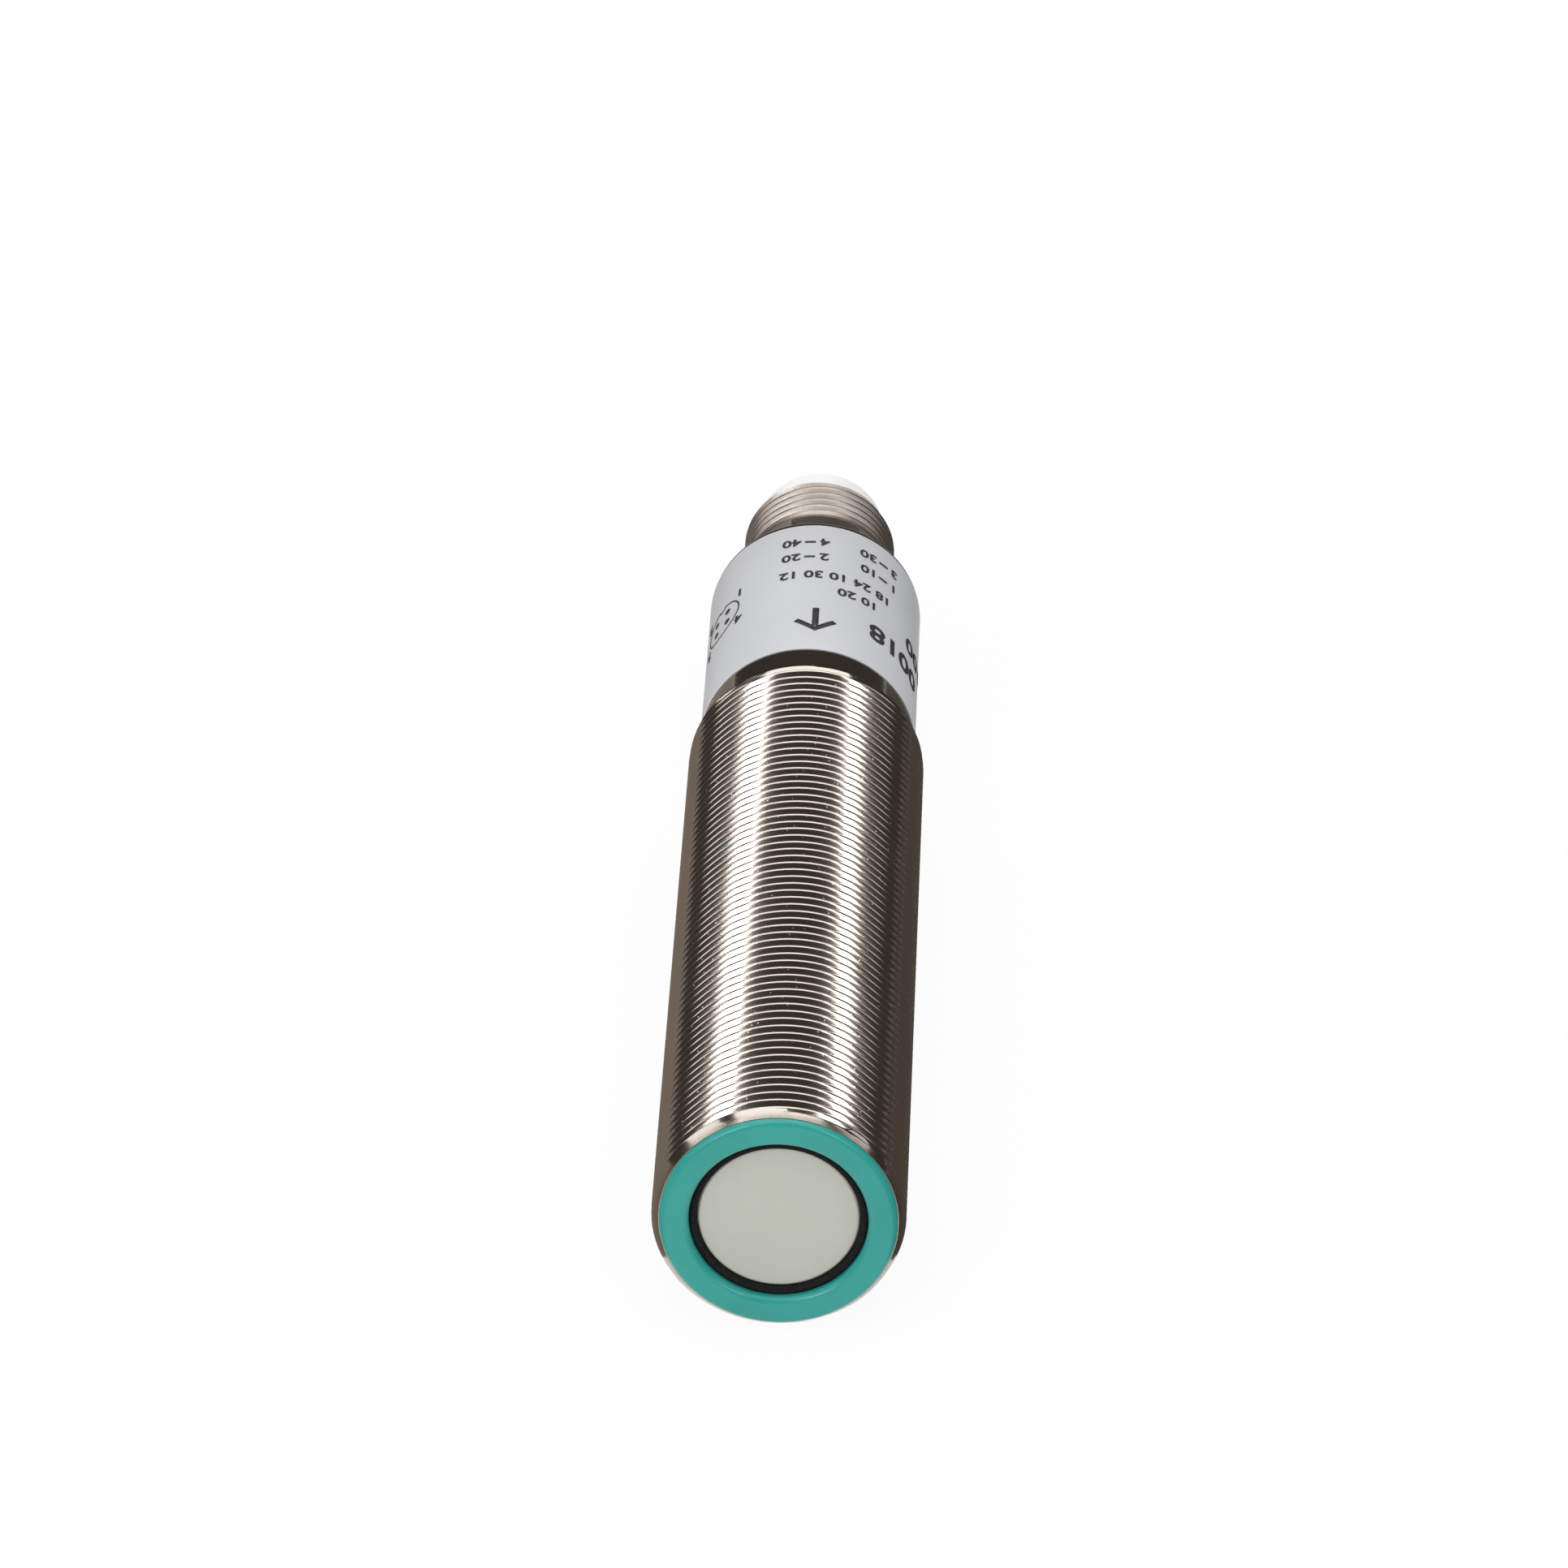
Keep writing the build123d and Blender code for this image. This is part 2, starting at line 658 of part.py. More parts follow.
# Contact pins: round tips in the cup, thin tails soldered to the connector board
with BuildPart() as contact_pins:
    with BuildSketch(across(plug_front)):
        with PolarLocations(contact_circle_radius, contact_count, start_angle=contact_turn):
            Circle(contact_radius)
    extrude(amount=contact_tip - plug_front)
    fillet(contact_pins.edges().group_by(Axis.Y)[-1], contact_tip_rounding)
    with BuildSketch(across(tail_front)):
        with PolarLocations(contact_circle_radius, contact_count, start_angle=contact_turn):
            Circle(tail_radius)
    extrude(amount=plug_front - tail_front)
contact_pins.part.label = "contact_pins"
export_step(contact_pins.part, "parts/contact_pins.step")

# Label: thin film wrapped once round the neck
with BuildPart() as label:
    with BuildSketch(across(label_front)):
        Circle(neck_radius + glue_thickness + label_thickness)
        Circle(neck_radius + glue_thickness, mode=Mode.SUBTRACT)
    extrude(amount=label_length)
label.part.label = "label"
export_step(label.part, "parts/label.step")
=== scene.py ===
import json
import math
import bmesh
import bpy
import numpy as np
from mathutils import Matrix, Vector


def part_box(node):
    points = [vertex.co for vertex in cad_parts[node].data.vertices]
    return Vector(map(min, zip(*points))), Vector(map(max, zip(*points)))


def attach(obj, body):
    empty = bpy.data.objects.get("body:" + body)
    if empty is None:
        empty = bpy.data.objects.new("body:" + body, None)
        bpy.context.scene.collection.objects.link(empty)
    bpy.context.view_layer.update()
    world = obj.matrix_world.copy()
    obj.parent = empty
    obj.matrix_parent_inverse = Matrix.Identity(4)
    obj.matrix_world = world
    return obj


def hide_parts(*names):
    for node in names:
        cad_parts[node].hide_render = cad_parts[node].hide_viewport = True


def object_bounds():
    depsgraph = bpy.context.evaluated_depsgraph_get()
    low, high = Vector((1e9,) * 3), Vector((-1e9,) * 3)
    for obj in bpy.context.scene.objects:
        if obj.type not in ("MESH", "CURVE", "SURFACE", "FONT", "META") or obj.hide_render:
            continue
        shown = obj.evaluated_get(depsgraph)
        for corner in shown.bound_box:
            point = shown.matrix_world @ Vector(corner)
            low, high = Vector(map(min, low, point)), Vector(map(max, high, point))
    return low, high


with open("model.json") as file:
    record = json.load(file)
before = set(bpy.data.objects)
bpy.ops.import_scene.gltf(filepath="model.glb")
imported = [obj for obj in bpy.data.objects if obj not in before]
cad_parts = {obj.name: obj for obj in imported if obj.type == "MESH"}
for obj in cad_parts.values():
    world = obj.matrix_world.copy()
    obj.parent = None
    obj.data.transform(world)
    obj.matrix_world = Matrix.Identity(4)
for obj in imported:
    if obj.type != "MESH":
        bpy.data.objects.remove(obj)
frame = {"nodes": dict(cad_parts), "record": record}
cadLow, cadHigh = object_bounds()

mm = 0.001
columns = 120  # steps round the axis, 3 degrees each, so that the window edges fall on a step
turns = np.linspace(0.0, 2 * math.pi, columns + 1)  # from +Z towards +X
mounts = {mount["name"]: mount for mount in frame["record"]["mounts"]}
print("frame:", len(frame["nodes"]), "nodes")


def span(node):
    # front and rear place along Y and the outer radius of a round node
    low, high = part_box(node)
    return low.y, high.y, (high.x - low.x) / 2


class Signal:
    # a shader socket that adds Math nodes when it is used in an expression
    # (node takes a node's type, its settings, its sockets' values or signals, and the output that is wanted)

    def __init__(self, tree, socket=None):
        self.tree, self.socket = tree, socket

    def node(self, kind, settings=None, sockets=None, output=0):
        made = self.tree.nodes.new(kind)
        for key, value in (settings or {}).items():
            setattr(made, key, value)
        for key, value in (sockets or {}).items():
            if isinstance(value, Signal):
                self.tree.links.new(value.socket, made.inputs[key])
            else:
                made.inputs[key].default_value = value
        return Signal(self.tree, made.outputs[output] if made.outputs else None)

    def calculate(self, operation, first, second=0.0):
        return self.node("ShaderNodeMath", {"operation": operation}, {0: first, 1: second})

    def __add__(self, other):
        return self.calculate("ADD", self, other)

    def __sub__(self, other):
        return self.calculate("SUBTRACT", self, other)

    def __rsub__(self, other):
        return self.calculate("SUBTRACT", other, self)

    def __mul__(self, other):
        return self.calculate("MULTIPLY", self, other)

    def __truediv__(self, other):
        return self.calculate("DIVIDE", self, other)

    def __pow__(self, other):
        return self.calculate("POWER", self, other)

    __radd__ = __add__
    __rmul__ = __mul__

    def between(self, low, high):
        # 0 below low, 1 above high, smooth in between
        settings = {"interpolation_type": "SMOOTHSTEP"}
        sockets = {"Value": self, "From Min": low, "From Max": high}
        return self.node("ShaderNodeMapRange", settings, sockets)

    def mix(self, first, second):
        # colour from first to second as this value goes from 0 to 1
        return self.node("ShaderNodeMix", {"data_type": "RGBA"}, {0: self, 6: first, 7: second}, 2)


def rgb(red, green, blue):
    return (red, green, blue, 1.0)


def startMaterial(name):
    # an empty material with its Principled shader, and the object coordinates
    material = bpy.data.materials.new(name)
    material.use_nodes = True
    tree = material.node_tree
    tree.nodes.clear()
    shader = tree.nodes.new("ShaderNodeBsdfPrincipled")
    output = tree.nodes.new("ShaderNodeOutputMaterial")
    tree.links.new(shader.outputs[0], output.inputs[0])
    place = Signal(tree).node("ShaderNodeTexCoord", output="Object")
    return material, shader, place


def setShader(shader, sockets):
    # values or signals for the shader's sockets
    for key, value in sockets.items():
        if isinstance(value, Signal):
            value.tree.links.new(value.socket, shader.inputs[key])
        else:
            shader.inputs[key].default_value = value


def noise(place, scale, detail=2.0, rough=0.5):
    sockets = {"Vector": place, "Scale": scale, "Detail": detail, "Roughness": rough}
    return place.node("ShaderNodeTexNoise", sockets=sockets)


def cells(place, scale):
    return place.node("ShaderNodeTexVoronoi", sockets={"Vector": place, "Scale": scale})


def bump(height, depth, strength=1.0):
    # depth in metres that a height of 1 stands for
    return height.node("ShaderNodeBump", sockets={"Strength": strength, "Distance": depth, "Height": height})


def roundPlace(place):
    # radius, turn about the axis and place along it, from object coordinates
    parts = {axis: place.node("ShaderNodeSeparateXYZ", sockets={0: place}, output=axis) for axis in "XYZ"}
    radius = (parts["X"] * parts["X"] + parts["Z"] * parts["Z"]) ** 0.5
    return radius, place.calculate("ARCTAN2", parts["X"], parts["Z"]), parts["Y"]


def joinPlace(place, first, second, third=0.0):
    return place.node("ShaderNodeCombineXYZ", sockets={0: first, 1: second, 2: third})


nickelLook = {
    "metal": rgb(0.62, 0.565, 0.51),
    # colour of the darkened thread roots: tarnish with painted shade
    "tarnishAndShade": rgb(0.36, 0.285, 0.22),
    "roughness": 0.085,
    "markDepth": 0.0007 * mm,
}


def brightNickel():
    # turned and plated brass: marks that run round, tarnish with painted shade in the thread's roots, a few
    # specks
    material, shader, place = startMaterial("brightNickel")
    radius, turn, along = roundPlace(place)
    crest = span("threaded_barrel")[2]
    depth = 1 - radius.between(crest - 0.62 * mm, crest - 0.10 * mm)
    onThread = 1 - along.between(63.2 * mm, 63.8 * mm)
    outside = radius.between(crest - 0.9 * mm, crest - 0.8 * mm)
    marks = noise(joinPlace(place, turn * 1.5, along * 9000.0), 1.0, 4.0, 0.7)
    smudges = noise(place, 260.0, 3.0)
    specks = 1 - cells(place, 1700.0).between(0.04, 0.14)
    mottles = noise(place, 2400.0, 3.0, 0.6).between(0.35, 0.75)
    # darker, browner thread roots: tarnish with painted shade, and faint smudges all over
    tarnishAndShadeShare = depth * onThread * outside * (0.62 + mottles * 0.3) + smudges.between(0.5, 0.8) * 0.12
    colour = tarnishAndShadeShare.mix(nickelLook["metal"], nickelLook["tarnishAndShade"])
    roughness = nickelLook["roughness"] + smudges * 0.06 + depth * onThread * 0.07 + specks * 0.20
    height = marks * 0.6 + mottles * 0.45
    setShader(shader, {"Base Color": colour, "Roughness": roughness, "Metallic": 1.0})
    setShader(shader, {"Normal": bump(height, nickelLook["markDepth"])})
    return material


shellLook = {"metal": rgb(0.57, 0.505, 0.462), "shade": rgb(0.38, 0.335, 0.30), "roughness": 0.34}


def matteNickel():
    # tumbled and plated brass: a soft grain, slightly worn crests, and a duller tube beside the windows
    material, shader, place = startMaterial("matteNickel")
    radius, turn, along = roundPlace(place)
    crest = mounts["connector_thread"]["dims"]["r_mm"] * mm
    worn = radius.between(crest - 0.14 * mm, crest - 0.02 * mm)
    grain = noise(place, 9000.0, 3.0, 0.7)
    clouds = noise(place, 420.0, 2.0)
    marks = noise(joinPlace(place, turn * 1.2, along * 7000.0), 1.0, 3.0, 0.6)
    mottles = clouds.between(0.3, 0.7) * 0.45 + grain.between(0.3, 0.7) * 0.45
    colour = mottles.mix(shellLook["metal"], shellLook["shade"])
    blasted = 1 - along.between(span("light_ring")[1], span("light_ring")[1] + 0.3 * mm)
    roughness = shellLook["roughness"] + grain * 0.12 - worn * 0.10 + blasted * 0.16
    setShader(shader, {"Base Color": colour, "Roughness": roughness, "Metallic": 1.0})
    setShader(shader, {"Normal": bump(grain + marks * 0.8, 0.010 * mm)})
    return material


tealLook = {"colour": rgb(0.017, 0.312, 0.272), "shade": rgb(0.012, 0.286, 0.248), "roughness": 0.24}


def tealPlastic():
    # moulded plastic with a fine grain and faint flow clouds
    material, shader, place = startMaterial("tealPlastic")
    clouds = noise(place, 190.0, 3.0)
    grain = noise(place, 7000.0, 2.0)
    colour = clouds.between(0.3, 0.75).mix(tealLook["colour"], tealLook["shade"])
    roughness = tealLook["roughness"] + grain * 0.10 + clouds * 0.05
    setShader(shader, {"Base Color": colour, "Roughness": roughness, "IOR": 1.48})
    setShader(shader, {"Coat Weight": 0.15, "Coat Roughness": 0.22, "Normal": bump(grain, 0.002 * mm)})
    return material


resinLook = {"colour": rgb(0.500, 0.500, 0.438), "shade": rgb(0.455, 0.455, 0.395), "roughness": 0.55}


def matchingResin():
    # resin filled with tiny hollow glass balls: pale, dull and finely pitted
    material, shader, place = startMaterial("matchingResin")
    balls = cells(place, 9000.0)
    clouds = noise(place, 150.0, 3.0)
    pits = 1 - balls.between(0.15, 0.32)
    colour = (clouds.between(0.25, 0.8) * 0.6 + pits * 0.15).mix(resinLook["colour"], resinLook["shade"])
    setShader(shader, {"Base Color": colour, "Roughness": resinLook["roughness"] + pits * 0.15, "IOR": 1.45})
    setShader(shader, {"Normal": bump(balls, 0.003 * mm)})
    return material


foamFinish = {"pore": rgb(0.003, 0.003, 0.003), "wall": rgb(0.009, 0.010, 0.009), "roughness": 0.82}


def blackFoam():
    # closed-cell foam: small round cells with thin walls
    material, shader, place = startMaterial("blackFoam")
    pores = cells(place, 5200.0)
    fine = noise(place, 12000.0, 3.0)
    colour = pores.between(0.1, 0.6).mix(foamFinish["pore"], foamFinish["wall"])
    setShader(shader, {"Base Color": colour, "Roughness": foamFinish["roughness"] + fine * 0.12, "IOR": 1.3})
    setShader(shader, {"Normal": bump(pores + fine * 0.4, 0.03 * mm)})
    return material


labelLook = {"film": rgb(0.620, 0.629, 0.655), "shade": rgb(0.583, 0.594, 0.624), "roughness": 0.30}


def labelFilm():
    # satin polyester film, printed silver grey, with a barely visible orange peel
    material, shader, place = startMaterial("labelFilm")
    clouds = noise(place, 90.0, 2.0)
    peel = noise(place, 1400.0, 2.0)
    fine = noise(place, 11000.0, 2.0)
    colour = clouds.between(0.3, 0.7).mix(labelLook["film"], labelLook["shade"])
    setShader(shader, {"Base Color": colour, "Roughness": labelLook["roughness"] + fine * 0.10, "IOR": 1.5})
    setShader(shader, {"Normal": bump(peel + fine * 0.15, 0.0035 * mm)})
    return material


inkLook = {"colour": rgb(0.032, 0.030, 0.034), "worn": rgb(0.060, 0.056, 0.060), "roughness": 0.45}


def printInk():
    # dark grey ink with slightly uneven cover
    material, shader, place = startMaterial("printInk")
    cover = noise(place, 6000.0, 3.0)
    colour = cover.between(0.35, 0.8).mix(inkLook["colour"], inkLook["worn"])
    setShader(shader, {"Base Color": colour, "Roughness": inkLook["roughness"] + cover * 0.15})
    setShader(shader, {"Normal": bump(cover, 0.002 * mm)})
    return material


smokyLook = {
    "colour": rgb(0.007, 0.006, 0.006),
    "haze": rgb(0.013, 0.011, 0.010),
    "roughness": 0.16,
    "clearness": 0.12,
}


def smokyClear():
    # tinted clear plastic with a faint haze
    material, shader, place = startMaterial("smokyClear")
    haze = noise(place, 700.0, 3.0)
    colour = haze.mix(smokyLook["colour"], smokyLook["haze"])
    setShader(shader, {"Base Color": colour, "Roughness": smokyLook["roughness"] + haze * 0.14, "IOR": 1.42})
    setShader(shader, {"Transmission Weight": smokyLook["clearness"]})
    setShader(shader, {"Normal": bump(noise(place, 2500.0, 2.0), 0.003 * mm)})
    return material


whiteLook = {"colour": rgb(0.97, 0.97, 0.97), "shade": rgb(0.94, 0.94, 0.94), "roughness": 0.28}


def whitePlastic():
    # glossy white moulding with faint clouds
    material, shader, place = startMaterial("whitePlastic")
    clouds = noise(place, 300.0, 3.0)
    grain = noise(place, 6000.0, 2.0)
    colour = clouds.mix(whiteLook["colour"], whiteLook["shade"])
    setShader(shader, {"Base Color": colour, "Roughness": whiteLook["roughness"] + grain * 0.10, "IOR": 1.5})
    setShader(shader, {"Normal": bump(grain, 0.002 * mm)})
    return material


goldLook = {"colour": rgb(0.90, 0.67, 0.30), "wiped": rgb(0.78, 0.54, 0.22), "roughness": 0.16}


def goldPlate():
    # plated contacts with fine wiping marks along their length
    material, shader, place = startMaterial("goldPlate")
    stretched = place.node("ShaderNodeMapping", sockets={"Vector": place, "Scale": (9000.0, 500.0, 9000.0)})
    wiped = noise(stretched, 1.0, 3.0)
    colour = wiped.mix(goldLook["colour"], goldLook["wiped"])
    setShader(shader, {"Base Color": colour, "Roughness": goldLook["roughness"] + wiped * 0.14})
    setShader(shader, {"Metallic": 1.0, "Normal": bump(wiped, 0.001 * mm)})
    return material


# finishes of the sealed-in pieces: colour, second colour, roughness, metallic, grain scale and depth in mm
innerLooks = {
    "piezo_ceramic": (rgb(0.66, 0.60, 0.46), rgb(0.56, 0.50, 0.37), 0.60, 0.0, 5000.0, 0.004),
    "black_plastic": (rgb(0.020, 0.020, 0.022), rgb(0.030, 0.030, 0.032), 0.42, 0.0, 4000.0, 0.004),
    "grey_rubber": (rgb(0.13, 0.13, 0.13), rgb(0.09, 0.09, 0.095), 0.75, 0.0, 2500.0, 0.010),
    "black_rubber": (rgb(0.014, 0.014, 0.014), rgb(0.024, 0.024, 0.024), 0.50, 0.0, 3000.0, 0.004),
    "tinned_copper": (rgb(0.66, 0.65, 0.62), rgb(0.56, 0.54, 0.50), 0.30, 1.0, 3500.0, 0.003),
    "black_resin": (rgb(0.022, 0.022, 0.024), rgb(0.040, 0.040, 0.042), 0.28, 0.0, 900.0, 0.010),
    "sleeve_film": (rgb(0.52, 0.46, 0.28), rgb(0.46, 0.40, 0.23), 0.30, 0.0, 1200.0, 0.004),
    "green_board": (rgb(0.016, 0.150, 0.060), rgb(0.022, 0.190, 0.080), 0.35, 0.0, 2200.0, 0.008),
    "ferrite": (rgb(0.055, 0.055, 0.060), rgb(0.080, 0.080, 0.085), 0.62, 0.0, 5200.0, 0.006),
    "copper_winding": (rgb(0.62, 0.25, 0.10), rgb(0.48, 0.17, 0.06), 0.32, 1.0, 6000.0, 0.020),
    "chip_black": (rgb(0.020, 0.020, 0.022), rgb(0.034, 0.034, 0.036), 0.58, 0.0, 7000.0, 0.004),
    "can_metal": (rgb(0.62, 0.62, 0.61), rgb(0.54, 0.54, 0.53), 0.34, 1.0, 4000.0, 0.003),
    "tantalum_yellow": (rgb(0.72, 0.43, 0.05), rgb(0.62, 0.35, 0.04), 0.50, 0.0, 3600.0, 0.004),
    "chip_ceramic": (rgb(0.36, 0.24, 0.13), rgb(0.28, 0.18, 0.09), 0.55, 0.0, 5200.0, 0.004),
    "bead_resin": (rgb(0.110, 0.030, 0.020), rgb(0.080, 0.020, 0.014), 0.30, 0.0, 2600.0, 0.004),
    "led_yellow": (rgb(0.82, 0.58, 0.06), rgb(0.74, 0.50, 0.05), 0.22, 0.0, 2600.0, 0.002),
    "led_green": (rgb(0.12, 0.62, 0.14), rgb(0.09, 0.52, 0.11), 0.22, 0.0, 2600.0, 0.002),
}


def innerFinish(slot):
    # two close colours through one noise, and its grain as bump
    material, shader, place = startMaterial(slot)
    first, second, rough, metallic, scale, depth = innerLooks[slot]
    clouds = noise(place, scale / 12, 3.0)
    grain = noise(place, scale, 3.0, 0.6)
    setShader(shader, {"Base Color": clouds.mix(first, second), "Roughness": rough + grain * 0.12 - 0.05})
    setShader(shader, {"Metallic": metallic, "Normal": bump(grain, depth * mm)})
    return material


materials = {
    "nickel_bright": brightNickel(),
    "nickel_matte": matteNickel(),
    "teal_plastic": tealPlastic(),
    "matching_resin": matchingResin(),
    "black_foam": blackFoam(),
    "label_film": labelFilm(),
    "smoky_clear": smokyClear(),
    "white_plastic": whitePlastic(),
    "gold_plate": goldPlate(),
    **{slot: innerFinish(slot) for slot in innerLooks},
}
for part in frame["record"]["subparts"]:
    holder = frame["nodes"][part["node"]]
    for materialSlot in holder.material_slots:
        materialSlot.material = materials[part["material_slot"]]
print("materials:", len(materials))


def roundedLine(corners, steps=5):
    # corners are (radius, place, rounding); each rounding becomes a circular arc between its two sides
    points = []
    for index, (radius, place, rounding) in enumerate(corners):
        here = np.array([radius, place])
        if rounding == 0 or index in (0, len(corners) - 1):
            points.append(here[None])
            continue
        before = np.array(corners[index - 1][:2]) - here
        after = np.array(corners[index + 1][:2]) - here
        before, after = before / np.linalg.norm(before), after / np.linalg.norm(after)
        half = math.acos(np.clip(before @ after, -1, 1)) / 2
        middle = here + (before + after) / np.linalg.norm(before + after) * rounding / math.sin(half)
        share = np.linspace(0, 1, steps + 1)[:, None]
        first = here + before * rounding / math.tan(half) - middle
        last = here + after * rounding / math.tan(half) - middle
        arc = first * (1 - share) + last * share
        points.append(middle + arc / np.linalg.norm(arc, axis=1)[:, None] * rounding)
    return np.concatenate(points)


def gridFaces(rows, steps):
    # quads of a grid of rows by steps points; outwards where the rows run to the rear on the outside
    start = np.arange(rows - 1)[:, None] * steps + np.arange(steps - 1)
    return np.stack([start, start + 1, start + steps + 1, start + steps], -1).reshape(-1, 4)


def aboutAxis(radii, places, angles):
    # x = radius sin(turn), y = place, z = radius cos(turn)
    return np.stack([radii * np.sin(angles), places + 0 * angles, radii * np.cos(angles)], -1)


def makePiece(name, points, faces, material, sharpAngle=32.0, weld=1e-6):
    mesh = bpy.data.meshes.new(name)
    faces = faces.tolist() if isinstance(faces, np.ndarray) else faces
    mesh.from_pydata(np.asarray(points).reshape(-1, 3).tolist(), [], faces)
    work = bmesh.new()
    work.from_mesh(mesh)
    bmesh.ops.remove_doubles(work, verts=work.verts, dist=weld)
    bmesh.ops.dissolve_degenerate(work, edges=work.edges, dist=weld / 4)
    work.to_mesh(mesh)
    work.free()
    mesh.shade_smooth()
    mesh.set_sharp_from_angle(angle=math.radians(sharpAngle))
    mesh.materials.append(material)
    piece = bpy.data.objects.new(name, mesh)
    bpy.context.scene.collection.objects.link(piece)
    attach(piece, "root")
    return piece


def latheSurface(line, angles=turns):
    # a closed profile (radius, place) carried round the axis
    radii, places = line[:, 0][:, None], line[:, 1][:, None]
    return aboutAxis(radii, places, angles[None, :]), gridFaces(len(line), len(angles))


barrelLook = {
    "pitch": 1.0 * mm,
    "depth": 0.60 * mm,
    "crestFlat": 0.01,  # half width of the crest, as a share of the pitch
    "crestBend": 0.11,  # width over which the crest turns into the flank
    "rootBend": 0.10,
    "columns": 90,
    "firstTurn": math.radians(3.0),  # where the first crest stands
    "shoulderSlope": 1.2,
    "rim": 0.05 * mm,  # of the front face, outside the cover ring
    "frontCone": 0.52 * mm,
    "leadIn": 0.50 * mm,  # over which the first groove reaches its depth
    "shoulder": 63.6 * mm,
    "runOut": 0.55 * mm,  # over which the last groove fades
    "boreGap": 0.05 * mm,
    "neckDrop": 0.08 * mm,  # of the neck below the label's outside
    "rearRounding": 0.45 * mm,
    "boreRounding": 0.1 * mm,
    "sharpAngle": 42.0,
}
# rows of one pitch, closest where the profile bends, from just behind one crest to the next
crestRows = [0.0, 0.015, 0.04, 0.07, 0.12]
pitchRows = np.array([*crestRows, 0.26, 0.40, 0.46, 0.54, 0.60, 0.74, 0.88, 0.93, 0.96, 0.985])


def threadDrop(phase, look):
    # fall from the crest as a share of the depth: the slope rises over crestBend, stays,
    # and falls again over rootBend
    def bend(distance, width):
        return np.where(distance < width, np.clip(distance, 0, None) ** 2 / (2 * width), distance - width / 2)

    flat, crestBend, rootBend = look["crestFlat"], look["crestBend"], look["rootBend"]
    drop = bend(phase - flat, crestBend) - bend(phase - 0.5 + rootBend, rootBend)
    return drop / (0.5 - flat - crestBend / 2 - rootBend / 2)


def barrelPiece():
    # thread: radius = crest - depth * threadDrop(phase), with rows that climb one pitch in each turn
    front, rear, crest = span("threaded_barrel")
    pitch = barrelLook["pitch"]
    angles = np.linspace(0.0, 2 * math.pi, barrelLook["columns"] + 1)
    bore = span("front_potting")[2] + barrelLook["boreGap"]
    edge, neck = span("cover_ring")[2] + barrelLook["rim"], span("label")[2] - barrelLook["neckDrop"]
    shoulder = barrelLook["shoulder"]
    neckStart = shoulder + (crest - neck) / barrelLook["shoulderSlope"]
    rows = (np.arange(-2, 65)[:, None] + pitchRows).reshape(-1, 1)
    climbed = (rows + (angles - barrelLook["firstTurn"]) / (2 * np.pi)) * pitch
    places = np.clip(climbed, front, neckStart)
    phase = np.abs(rows - np.round(rows)) + 0 * angles
    fade = np.clip((places - front - 0.1 * mm) / barrelLook["leadIn"], 0, 1)
    fade = fade * np.clip((shoulder - places) / barrelLook["runOut"], 0, 1)
    drop = threadDrop(phase, barrelLook) * barrelLook["depth"]
    thread = crest - drop * fade * fade * (3 - 2 * fade)
    frontCone = edge + (places - front) * (crest - edge) / barrelLook["frontCone"]
    rearCone = crest - (places - shoulder) * barrelLook["shoulderSlope"]
    thread = np.minimum(thread, np.minimum(frontCone, rearCone))
    threadPoints = aboutAxis(thread, places, angles[None, :])
    startLine = np.array([[bore, front], [edge - 0.03 * mm, front]])
    # rows close behind the shoulder keep its shading off the neck
    neckRows = [(neck, neckStart + away * mm, 0) for away in (0.0, 0.04, 0.3, 23.0)]
    rearCorners = [(neck, rear, barrelLook["rearRounding"]), (bore, rear, barrelLook["boreRounding"])]
    endLine = roundedLine([*neckRows, *rearCorners, (bore, front, 0)], 8)
    startPoints = latheSurface(startLine, angles)[0]
    endPoints = latheSurface(endLine, angles)[0]
    points = np.concatenate([startPoints, threadPoints, endPoints])
    faces = gridFaces(len(points), len(angles))
    barrel = makePiece("barrel", points, faces, materials["nickel_bright"], barrelLook["sharpAngle"])
    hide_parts("threaded_barrel")


barrelPiece()
print("barrel done")

ringLook = {
    "outerRounding": 0.44 * mm,
    "innerRounding": 0.52 * mm,
    "markTurns": np.radians([-32.0, 52.0, 92.0, 148.0, 268.0]),
    "markDepth": 0.012 * mm,
    "markRadius": 0.75 * mm,
    "markEdge": 0.18 * mm,
}


def coverRingPiece():
    # lathe profile, with shallow round mould marks sunk into the front face
    front, rear, lip = span("cover_ring")
    opening = span("foam_ring")[2]
    skirt = span("front_potting")[2]
    seat = span("threaded_barrel")[0]
    corners = [
        (opening, rear, 0),
        (opening, front, ringLook["innerRounding"]),
        (lip, front, ringLook["outerRounding"]),
        (lip, seat, 0),
        (skirt, seat, 0),
        (skirt, rear, 0),
        (opening, rear, 0),
    ]
    line = roundedLine(corners, 8)
    flat = np.where(line[:, 1] < front + 1e-9)[0]
    face = np.linspace(line[flat[0]], line[flat[-1]], 14)
    line = np.concatenate([line[: flat[0]], face, line[flat[-1] + 1 :]])
    points, faces = latheSurface(line)
    middle = (opening + lip) / 2
    for turn in ringLook["markTurns"]:
        centre = aboutAxis(np.array(middle), np.array(front), np.array(turn))
        away = np.linalg.norm(points - centre, axis=-1)
        sunk = np.clip((ringLook["markRadius"] - away) / ringLook["markEdge"], 0, 1)
        points[..., 1] += sunk * (points[..., 1] < front + 0.02 * mm) * ringLook["markDepth"]
    ring = makePiece("coverRing", points, faces, materials["teal_plastic"])
    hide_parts("cover_ring")


discLook = {"edgeDrop": 0.03 * mm, "edgeRounding": 0.30 * mm, "flatShare": 0.55}


